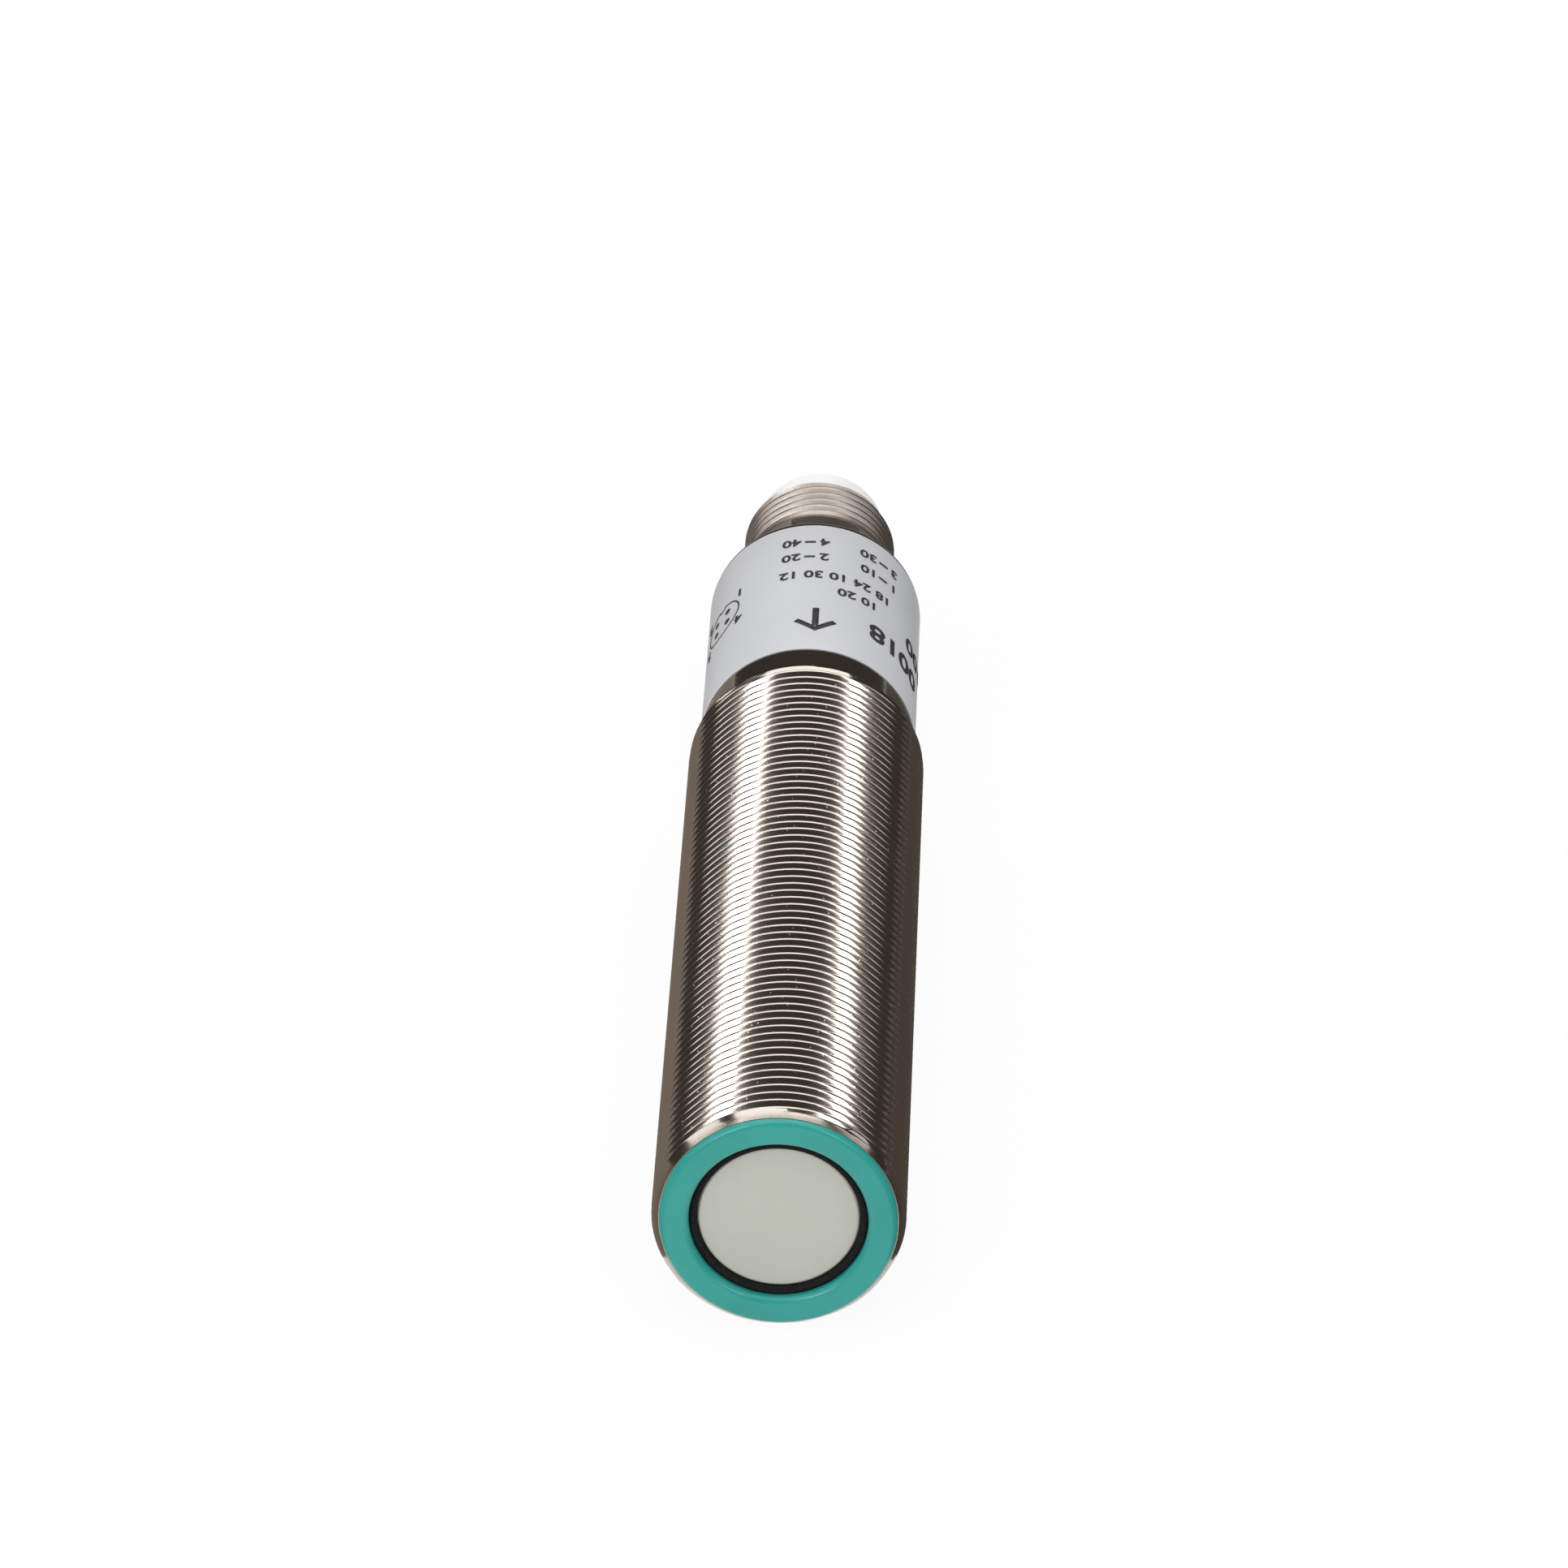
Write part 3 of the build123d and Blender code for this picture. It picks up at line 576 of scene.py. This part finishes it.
def discPiece():
    # matching layer: a disc with a soft edge, closed at both poles, and a barely raised middle
    front, rear, radius = span("matching_layer")
    corners = [
        (0, front, 0),
        (radius * discLook["flatShare"], front, 0),
        (radius, front + discLook["edgeDrop"], discLook["edgeRounding"]),
        (radius, rear, 0),
        (0, rear, 0),
    ]
    points, faces = latheSurface(roundedLine(corners, 8))
    disc = makePiece("matchingDisc", points, faces, materials["matching_resin"])
    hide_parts("matching_layer")


foamLook = {"bulge": 0.16 * mm, "unevenness": 0.018 * mm}


def foamPiece():
    # foam ring: its front bulges between the disc and the cover ring, with a slightly uneven surface
    front, rear, outer = span("foam_ring")
    inner = span("matching_layer")[2]
    half, middle = (outer - inner) / 2, (outer + inner) / 2
    share = np.linspace(-1, 1, 13)
    bulge = np.stack([middle + half * share, front + foamLook["bulge"] * share**2], -1)
    line = np.concatenate([[[inner, rear]], bulge, [[outer, rear]], [[inner, rear]]])
    points, faces = latheSurface(line)
    wave = np.sin(turns * 23 + 1.3) * np.sin(turns * 7) + 0.6 * np.sin(turns * 41)
    points[1:14, :, 1] += foamLook["unevenness"] * (wave[None, :] + 1) * (1 - share[:, None] ** 2)
    foam = makePiece("foamSeal", points, faces, materials["black_foam"], 60.0)
    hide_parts("foam_ring")


coverRingPiece()
discPiece()
foamPiece()
print("sensing face done")

labelCase = {
    "thickness": 0.06 * mm,
    "edgeRounding": 0.02 * mm,
    "overlap": 0.02 * mm,
    "overlapTurn": math.radians(183.0),
    "overlapHalf": math.radians(7.0),
}


def labelPiece():
    # film once round the neck; it climbs by its own thickness where the ends overlap, underneath
    front, rear, outer = span("label")
    inner, rounding = outer - labelCase["thickness"], labelCase["edgeRounding"]
    outerCorners = [(outer, front, rounding), (outer, rear, rounding)]
    line = roundedLine([(inner, front, 0), *outerCorners, (inner, rear, 0), (inner, front, 0)], 3)
    points, faces = latheSurface(line)
    away = np.abs((turns - labelCase["overlapTurn"] + np.pi) % (2 * np.pi) - np.pi)
    lift = labelCase["overlap"] * (away < labelCase["overlapHalf"])
    outside = (line[:, 0] > inner + labelCase["thickness"] / 2)[:, None]
    grow = 1 - outside * (labelCase["overlap"] - lift[None, :]) / outer
    points[..., 0] *= grow
    points[..., 2] *= grow
    film = makePiece("labelWrap", points, faces, materials["label_film"], 25.0)
    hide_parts("label")


printLook = {
    "lift": 0.012 * mm,
    "inkThickness": 0.008 * mm,
    "digit": 1.1 * mm,
    "pinRows": [("4", 0.4, 2.8), ("2", 0.4, 5.2), ("3", 6.6, 2.8), ("1", 6.6, 5.2)],
    # plain numbers: text, place across and from the rear, height
    "lines": [
        ("18 24 10 30 12", 1.5, 8.1, 1.1),
        ("10 20", 3.2, 10.4, 1.1),
        ("0018", 7.6, 14.4, 2.3),
        ("100", 10.4, 10.6, 2.0),
    ],
    "bar": 0.28 * mm,
    "pinCircle": 2.1 * mm,
    "notch": 0.36 * mm,
    "dot": 0.16 * mm,
    "line": 0.13 * mm,
}


def meshPoints(mesh):
    points = np.empty(3 * len(mesh.vertices), np.float32)
    mesh.vertices.foreach_get("co", points)
    return points.reshape(-1, 3).astype(float)


def digitShape(text, height):
    # filled outline of plain digits, as flat triangles centred on their own middle
    curve = bpy.data.curves.new("digit", "FONT")
    curve.body, curve.size = text, height * 1.4
    curve.resolution_u = 4
    curve.offset = 0.035 * height
    holder = bpy.data.objects.new("digit", curve)
    bpy.context.scene.collection.objects.link(holder)
    bpy.context.view_layer.update()
    made = bpy.data.meshes.new_from_object(holder.evaluated_get(bpy.context.evaluated_depsgraph_get()))
    bpy.data.objects.remove(holder)
    bpy.data.curves.remove(curve)
    across = meshPoints(made)[:, 0]
    work = bmesh.new()
    work.from_mesh(made)
    # cut into narrow strips, so that it bends when it is wrapped
    for cut in np.arange(across.min() + 0.15 * mm, across.max(), 0.2 * mm):
        geometry = work.verts[:] + work.edges[:] + work.faces[:]
        bmesh.ops.bisect_plane(work, geom=geometry, plane_co=(cut, 0, 0), plane_no=(1, 0, 0))
    work.to_mesh(made)
    work.free()
    points = meshPoints(made)
    faces = [list(face.vertices) for face in made.polygons]
    bpy.data.meshes.remove(made)
    return points - (points.min(0) + points.max(0)) / 2, faces


def stripShape(path, width):
    # flat strip of constant width along an open or closed path of points
    path = np.asarray(path, float)
    ahead = np.gradient(path, axis=0)
    if np.allclose(path[0], path[-1]):
        ahead[0] = ahead[-1] = path[1] - path[-2]
    ahead /= np.linalg.norm(ahead, axis=1)[:, None]
    side = np.stack([-ahead[:, 1], ahead[:, 0]], -1) * width / 2
    flat = np.stack([path - side, path + side], 1).reshape(-1, 2)
    points = np.concatenate([flat, np.zeros((len(flat), 1))], 1)
    return points, gridFaces(len(path), 2)[:, [0, 3, 2, 1]].tolist()


def arcPath(centre, radius, start, end, steps):
    angle = np.radians(np.linspace(start, end, steps))
    return np.stack([centre[0] + radius * np.cos(angle), centre[1] + radius * np.sin(angle)], -1)


def printPiece():
    # shapes drawn flat, then wrapped: across goes round the axis and up goes along it
    front, rear, outer = span("label")
    base = outer + printLook["lift"]
    bar, thin = printLook["bar"], printLook["line"]
    shapes = []

    def put(shape, across, up, turned=False):
        points, faces = shape
        flip = -1.0 if turned else 1.0
        shapes.append((points[:, :2] * flip + np.array([across, up]), faces))

    def barPath(length):
        return np.stack([np.linspace(-length / 2, length / 2, 9), np.zeros(9)], -1)

    for digit, across, fromRear in printLook["pinRows"]:
        place = rear - fromRear * mm
        put(digitShape(digit, printLook["digit"]), across * mm, place, True)
        put(stripShape(barPath(0.85 * mm), bar), (across - 1.15) * mm, place)
        put(digitShape(digit + "0", printLook["digit"]), (across - 2.6) * mm, place, True)
    for text, across, fromRear, height in printLook["lines"]:
        put(digitShape(text, height * mm), across * mm, rear - fromRear * mm, True)
    # pin positions: a ring with four dots and a notch, and a number outside each dot
    centre = np.array([-8.8 * mm, rear - 9.2 * mm])
    ring = printLook["pinCircle"]
    put(stripShape(arcPath((0, 0), ring, 100, 440, 49), thin), *centre)
    put(stripShape(arcPath((0, ring), printLook["notch"], 180, 360, 13), thin), *centre)
    dot = arcPath((0, 0), printLook["dot"], 0, 360, 17)
    for digit, corner in (("1", 45), ("2", 135), ("3", 225), ("4", 315)):
        away = ring * np.array([math.cos(math.radians(corner)), math.sin(math.radians(corner))])
        put(stripShape(dot, 0.30 * mm), *(centre + 0.52 * away))
        put(digitShape(digit, printLook["digit"]), *(centre + 1.42 * away), True)
    # a plain arrow that points to the sensing face
    place, wide = front + 4.9 * mm, 0.5 * mm
    put(stripShape(np.stack([np.zeros(9), np.linspace(-1.2 * mm, 1.6 * mm, 9)], -1), wide), 0.0, place)
    head = np.stack([np.linspace(-0.15 * mm, 1.5 * mm, 7), np.linspace(-1.85 * mm, -0.3 * mm, 7)], -1)
    put(stripShape(head, wide), 0.0, place)
    put(stripShape(head * np.array([-1.0, 1.0]), wide), 0.0, place)
    points, faces, count = [], [], 0
    for flat, shapeFaces in shapes:
        points.append(flat)
        faces += [[corner + count for corner in face] for face in shapeFaces]
        count += len(flat)
    flat = np.concatenate(points)
    turn = flat[:, 0] / base + math.radians(3.0)
    wrapped = aboutAxis(np.full(len(flat), base), flat[:, 1], turn)
    marks = makePiece("labelPrint", wrapped, faces, printInk(), 60.0, 1e-7)
    thick = marks.modifiers.new("inkThickness", "SOLIDIFY")
    thick.thickness, thick.offset = printLook["inkThickness"], 0.0


labelPiece()
printPiece()
print("label done")

shellCase = {
    "pitch": 1.0 * mm,
    "depth": 0.50 * mm,
    "crestFlat": 0.02,
    "crestBend": 0.14,
    "rootBend": 0.12,
    "endCone": 0.14 * mm,
    "windowStarts": (-21, 69, 159, 249),  # degrees from the top
    "windowAngle": 57,
    "windowLength": 4.0 * mm,
    "windowSteps": 8,
    "tubeDrop": 0.2 * mm,  # of the tube below the crests
    "lipLength": 0.4 * mm,
    "leadIn": 0.7 * mm,  # over which the thread rises from the tube
    "sharpAngle": 34.0,
}


def shellPiece():
    # outer and inner surface as one closed loop of rows, with the window cells left out and walled
    front, rear, lip = span("connector_shell")
    crest = mounts["connector_thread"]["dims"]["r_mm"] * mm
    firstCrest = mounts["connector_thread"]["pos_m"][1] - 4 * shellCase["pitch"]
    bore = span("contact_carrier")[2] + 0.05 * mm
    plug = span("front_potting")[2]
    barrelRear = span("threaded_barrel")[1]
    tube = crest - shellCase["tubeDrop"]
    windowRear = span("light_ring")[1]
    windowFront = windowRear - shellCase["windowLength"]
    lipRear = barrelRear + shellCase["lipLength"]
    threadStart, threadEnd = windowRear + 0.12 * mm, rear
    pitch = shellCase["pitch"]
    outerLine = roundedLine(
        [
            (bore, front, 0),
            (plug, front, 0.15 * mm),
            (plug, barrelRear, 0),
            (lip, barrelRear, 0),
            (lip, lipRear, 0.12 * mm),
            (tube, lipRear, 0.25 * mm),
            (tube, windowFront, 0),
        ]
    )
    last = shellCase["windowSteps"]
    windowRows = np.linspace(windowFront, windowRear, last + 1)
    tubeLine = np.stack([np.full(last + 1, tube), windowRows], -1)
    rows = (np.arange(-2, 8)[:, None] + pitchRows).reshape(-1, 1)
    climbed = firstCrest + (rows + (turns - barrelLook["firstTurn"]) / (2 * np.pi)) * pitch
    places = np.clip(climbed, threadStart, threadEnd)
    # the phase is taken at the clipped place, so that the rows past the end fall together
    away = (places - firstCrest) / pitch - (turns - barrelLook["firstTurn"]) / (2 * np.pi)
    drop = threadDrop(np.abs(away - np.round(away)), shellCase) * shellCase["depth"]
    startFade = np.clip((places - threadStart) / shellCase["leadIn"], 0, 1)
    thread = tube + (crest - drop - tube) * startFade * startFade * (3 - 2 * startFade)
    endCone = crest + (threadEnd - places) * 1.1 - shellCase["endCone"]
    thread = np.minimum(thread, endCone)
    innerLine = np.array([[bore, rear], [bore, windowRear]])
    innerRows = np.stack([np.full(last + 1, bore), windowRows[::-1]], -1)
    lastLine = np.array([[bore, front]])
    blocks = [latheSurface(line)[0] for line in (outerLine[:-1], tubeLine)]
    blocks.append(aboutAxis(thread, places, turns[None, :]))
    blocks += [latheSurface(line)[0] for line in (innerLine[:-1], innerRows, lastLine)]
    points = np.concatenate(blocks)
    steps = columns + 1
    faces = gridFaces(len(points), steps)
    outerStart = len(outerLine) - 1
    innerStart = outerStart + last + 1 + len(rows) + 1
    row, column = faces[:, 0] // steps, faces[:, 0] % steps
    degrees = np.degrees(turns[column] + turns[1] / 2)
    inWindow = np.zeros(len(faces), bool)
    walls = []
    for start in shellCase["windowStarts"]:
        inWindow |= (degrees - start) % 360 < shellCase["windowAngle"]
        firstColumn = round(start / 3) % columns
        lastColumn = round((start + shellCase["windowAngle"]) / 3) % columns
        for side, flip in ((firstColumn, False), (lastColumn, True)):
            # side wall: the inner rows run the other way, so the first outer row meets the last inner row
            outer = (outerStart + np.arange(last + 1)) * steps + side
            inner = (innerStart + last - np.arange(last + 1)) * steps + side
            wall = np.stack([outer[:-1], outer[1:], inner[1:], inner[:-1]], -1)
            walls.append(wall[:, ::-1] if flip else wall)
        across = (firstColumn + np.arange(shellCase["windowAngle"] // 3 + 1)) % columns
        ends = ((outerStart, innerStart + last, True), (outerStart + last, innerStart, False))
        for outerRow, innerRow, flip in ends:
            outer, inner = outerRow * steps + across, innerRow * steps + across
            wall = np.stack([outer[:-1], outer[1:], inner[1:], inner[:-1]], -1)
            walls.append(wall[:, ::-1] if flip else wall)
    outerBand = (row >= outerStart) & (row < outerStart + last)
    innerBand = (row >= innerStart) & (row < innerStart + last)
    faces = np.concatenate([faces[~((outerBand | innerBand) & inWindow)], *walls])
    shell = makePiece("connectorShell", points, faces, materials["nickel_matte"], shellCase["sharpAngle"])
    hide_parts("connector_shell")


carrierLook = {
    "stemInset": 1.0 * mm,  # inside the light ring's outside
    "wall": 0.62 * mm,
    "cupDepth": 8.0 * mm,
    "keyHalf": 0.5 * mm,
    "keyHeight": 0.55 * mm,
    "keyFoot": 0.4 * mm,  # the part of the key inside the wall
    "keySetback": 0.8 * mm,  # behind the cup's rim
}


def carrierPiece():
    # white insert: stem, collar and cup in one lathe profile
    front, rear, outer = span("contact_carrier")
    stem = span("light_ring")[2] - carrierLook["stemInset"]
    windowRear = span("light_ring")[1]
    cup, floor = outer - carrierLook["wall"], rear - carrierLook["cupDepth"]
    corners = [
        (0, front, 0),
        (stem, front, 0),
        (stem, windowRear, 0),
        (outer, windowRear, 0),
        (outer, rear, 0.30 * mm),
        (cup, rear, 0.18 * mm),
        (cup, floor, 0.25 * mm),
        (0, floor, 0),
    ]
    points, faces = latheSurface(roundedLine(corners, 6))
    carrier = makePiece("contactCarrier", points, faces, materials["white_plastic"])
    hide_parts("contact_carrier")
    # coding key: a rib with a round nose, from the cup's wall inwards
    keyHalf, foot = carrierLook["keyHalf"], carrierLook["keyFoot"]
    nose = np.radians(np.linspace(0, 180, 13))
    across = np.concatenate([[keyHalf], keyHalf * np.cos(nose), [-keyHalf]])
    rise = np.concatenate([[-foot], keyHalf * np.sin(nose), [-foot]])
    height = cup - carrierLook["keyHeight"] + keyHalf - rise
    keyRear = rear - carrierLook["keySetback"]
    lengths = np.array([floor - 0.1 * mm, keyRear - 0.1 * mm, keyRear])
    shrink = np.array([1.0, 1.0, 0.9])
    middle = np.array([0.0, height.mean()])
    outline = np.stack([across, height], -1)
    rings = middle + (outline - middle)[None] * shrink[:, None, None]
    keyPoints = np.stack([rings[..., 0], lengths[:, None] + 0 * rings[..., 0], rings[..., 1]], -1)
    count = len(across)
    ahead = (np.arange(count) + 1) % count
    base = np.arange(2)[:, None] * count
    start, following = base + np.arange(count), base + ahead
    sides = np.stack([start, following, following + count, start + count], -1).reshape(-1, 4)[:, ::-1]
    caps = [list(range(count)), list(range(2 * count, 3 * count))[::-1]]
    key = makePiece("codingKey", keyPoints, sides.tolist() + caps, materials["white_plastic"])


contactLook = {"pinRadius": 0.5 * mm, "tailRadius": 0.35 * mm, "tipRounding": 0.38 * mm, "steps": 32}


def contactPiece():
    # four pins, each a closed lathe profile about its own line
    front, rear, reach = span("contact_pins")
    pinRadius, tailRadius = contactLook["pinRadius"], contactLook["tailRadius"]
    circle = (reach - pinRadius) * math.sqrt(2)
    plugFront = span("connector_shell")[0]
    corners = [
        (0, front, 0),
        (tailRadius, front, 0.1 * mm),
        (tailRadius, plugFront, 0),
        (pinRadius, plugFront, 0),
        (pinRadius, rear, contactLook["tipRounding"]),
        (0, rear, 0),
    ]
    angles = np.linspace(0, 2 * np.pi, contactLook["steps"] + 1)
    points, faces = latheSurface(roundedLine(corners, 7), angles)
    points = points.reshape(-1, 3)
    places = aboutAxis(np.array(circle), np.array(0.0), np.radians(45 + 90 * np.arange(4)))
    pinPoints = points[None] + places[:, None]
    pinFaces = faces[None] + len(points) * np.arange(4)[:, None, None]
    pins = makePiece("contactPins", pinPoints, pinFaces.reshape(-1, 4), materials["gold_plate"])
    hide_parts("contact_pins")


shellPiece()
carrierPiece()
contactPiece()
print("connector done")

stageLook = {
    "floorSize": 12.0,
    "floorColour": rgb(0.90, 0.90, 0.90),
    "whiteShare": 0.94,  # of the floor's look that is plain white
    # glow of the sheets that only show in reflections: painted reflections, brighter on the left than on the
    # right
    "domeGlow": 0.045,
    "domeRadius": 3.0,
    "leftGlow": 0.23,
    "rightGlow": 0.085,
    "sheetStart": 12.0 * mm,  # from the axis
    "sheetWidth": 1.6,
    "sheetFront": -1.0,
    "sheetRear": 1.2,
    "sheetLift": 0.4 * mm,
    "fill": 0.28,  # brightness of the even light from all round
}


def seenDirectly(start):
    # 1 for the eye and for what metal and glass show, 0 for light on the object
    camera, glossy, through = (
        start.node("ShaderNodeLightPath", output=ray)
        for ray in ("Is Camera Ray", "Is Glossy Ray", "Is Transmission Ray")
    )
    return camera + glossy + through


def litPaper(name, colour, share):
    # pale paper: its shaded colour with plain white over it, the same for the eye, metal and glass
    material, shader, place = startMaterial(name)
    tint = noise(place, 60.0).mix(colour, rgb(*(0.985 * channel for channel in colour[:3])))
    setShader(shader, {"Base Color": tint, "Roughness": 1.0, "Specular IOR Level": 0.0})
    paper = Signal(place.tree, shader.outputs[0])
    white = place.node("ShaderNodeEmission", sockets={"Color": rgb(1.0, 1.0, 1.0), "Strength": 1.0})
    mixed = place.node("ShaderNodeMixShader", sockets={0: seenDirectly(place) * share, 1: paper, 2: white})
    place.tree.links.new(mixed.socket, place.tree.nodes["Material Output"].inputs["Surface"])
    return material


def stagePiece(name, points, faces, material):
    mesh = bpy.data.meshes.new(name)
    mesh.from_pydata(np.asarray(points).reshape(-1, 3).tolist(), [], np.asarray(faces).tolist())
    mesh.materials.append(material)
    piece = bpy.data.objects.new(name, mesh)
    bpy.context.scene.collection.objects.link(piece)
    return piece


def flatSheet(left, right, front, rear, level):
    # corners and the one face of a level sheet that faces up
    corners = [(left, front, level), (right, front, level), (right, rear, level), (left, rear, level)]
    return corners, [(0, 1, 2, 3)]


floorHalf = stageLook["floorSize"] / 2
floorPaper = litPaper("floorPaper", stageLook["floorColour"], stageLook["whiteShare"])
stagePiece("floor", *flatSheet(-floorHalf, floorHalf, -floorHalf, floorHalf, cadLow.z), floorPaper)


def reflectionGlow(name, glow):
    # painted reflection: a warm grey glow with a soft cloudiness, that stands in for dull cloth
    material, shader, place = startMaterial(name)
    light, dark = rgb(glow * 1.2, glow * 1.03, glow * 0.88), rgb(glow * 0.95, glow * 0.82, glow * 0.70)
    colour = noise(place, 6.0).mix(light, dark)
    setShader(shader, {"Base Color": rgb(0.0, 0.0, 0.0), "Roughness": 1.0, "Specular IOR Level": 0.0})
    setShader(shader, {"Emission Color": colour, "Emission Strength": 1.0})
    return material


def reflectedPiece(name, points, faces, material):
    # painted reflection: a glowing sheet that stands in for studio cloth and only shows in reflections
    piece = stagePiece(name, points, faces, material)
    piece.visible_camera = piece.visible_diffuse = piece.visible_shadow = piece.visible_transmission = False


def reflectionSheets():
    # painted reflections of a dark studio: a wide glowing dome, and a glowing strip on the floor along each
    # side, seen only in reflections
    rise = np.radians(np.linspace(-0.1, 90.0, 13))[:, None]
    angles = np.linspace(0, 2 * np.pi, 49)[None, :]
    across = np.cos(rise)
    dome = np.stack([across * np.sin(angles), across * np.cos(angles), np.sin(rise) + 0 * angles], -1)
    domeGlowSheet = reflectionGlow("domeGlowSheet", stageLook["domeGlow"])
    reflectedPiece("dome", dome * stageLook["domeRadius"], gridFaces(13, 49), domeGlowSheet)
    near, far = stageLook["sheetStart"], stageLook["sheetStart"] + stageLook["sheetWidth"]
    height = cadLow.z + stageLook["sheetLift"]
    for name, glow, left, right in (
        ("leftGlowSheet", stageLook["leftGlow"], -far, -near),
        ("rightGlowSheet", stageLook["rightGlow"], near, far),
    ):
        sheet = flatSheet(left, right, stageLook["sheetFront"], stageLook["sheetRear"], height)
        reflectedPiece(name, *sheet, reflectionGlow(name, glow))


reflectionSheets()

aimPoint = Vector((0.0, 0.04, 0.0))
lamps = {
    # turn from the front towards +X and height in degrees, distance, width, height, brightness
    "topBox": (0.0, 86.0, 0.75, 0.90, 0.96, 1.5),
    "rearBox": (180.0, 52.0, 0.8, 0.9, 0.22, 1.5),
    "leftStrip": (-33.5, 28.0, 1.0, 0.165, 0.62, 9.0),
    "rightStrip": (34.5, 26.0, 1.0, 0.10, 0.62, 8.0),
    "leftWall": (-74.0, 31.0, 1.0, 0.62, 0.46, 1.3),
    "rightWall": (68.0, 31.0, 1.0, 0.42, 0.46, 0.75),
}


def fromFront(turn, rise, distance):
    # point on a ball round the aim point
    turn, rise = math.radians(turn), math.radians(rise)
    away = Vector((math.sin(turn) * math.cos(rise), -math.cos(turn) * math.cos(rise), math.sin(rise)))
    return aimPoint + away * distance


def softLamp(name, turn, rise, distance, width, height, brightness):
    # rectangular soft box that faces the aim point; power = brightness * pi * area
    light = bpy.data.lights.new(name, "AREA")
    light.shape, light.size, light.size_y = "RECTANGLE", width, height
    light.energy = brightness * math.pi * width * height
    lamp = bpy.data.objects.new(name, light)
    bpy.context.scene.collection.objects.link(lamp)
    lamp.location = fromFront(turn, rise, distance)
    lamp.rotation_euler = (lamp.location - aimPoint).to_track_quat("Z", "Y").to_euler()


for name, values in lamps.items():
    softLamp(name, *values)


def studioWorld():
    # soft even fill, and plain white wherever the surroundings are seen
    world = bpy.data.worlds.new("studio")
    world.use_nodes = True
    tree = world.node_tree
    tree.nodes.clear()
    start = Signal(tree)
    fill, white = (
        start.node("ShaderNodeBackground", sockets={"Color": rgb(1.0, 1.0, 1.0), "Strength": strength})
        for strength in (stageLook["fill"], 1.0)
    )
    shader = start.node("ShaderNodeMixShader", sockets={0: seenDirectly(start), 1: fill, 2: white})
    start.node("ShaderNodeOutputWorld", sockets={"Surface": shader})
    bpy.context.scene.world = world


studioWorld()

cameraCase = {
    "position": (17.34 * mm, -526.46 * mm, 333.15 * mm),
    "yaw": math.radians(-1.847),
    "pitch": math.radians(29.537),
    "lens": 204.2,
    "sensor": 36.0,
}
cameraData = bpy.data.cameras.new("camera")
cameraData.lens, cameraData.sensor_width = cameraCase["lens"], cameraCase["sensor"]
cameraData.clip_start, cameraData.clip_end = 0.01, 50.0
camera = bpy.data.objects.new("camera", cameraData)
bpy.context.scene.collection.objects.link(camera)
camera.location = cameraCase["position"]
camera.rotation_euler = (math.radians(90.0) - cameraCase["pitch"], 0.0, -cameraCase["yaw"])
bpy.context.scene.camera = camera
bpy.context.scene.view_settings.view_transform = "Standard"
print("stage done")
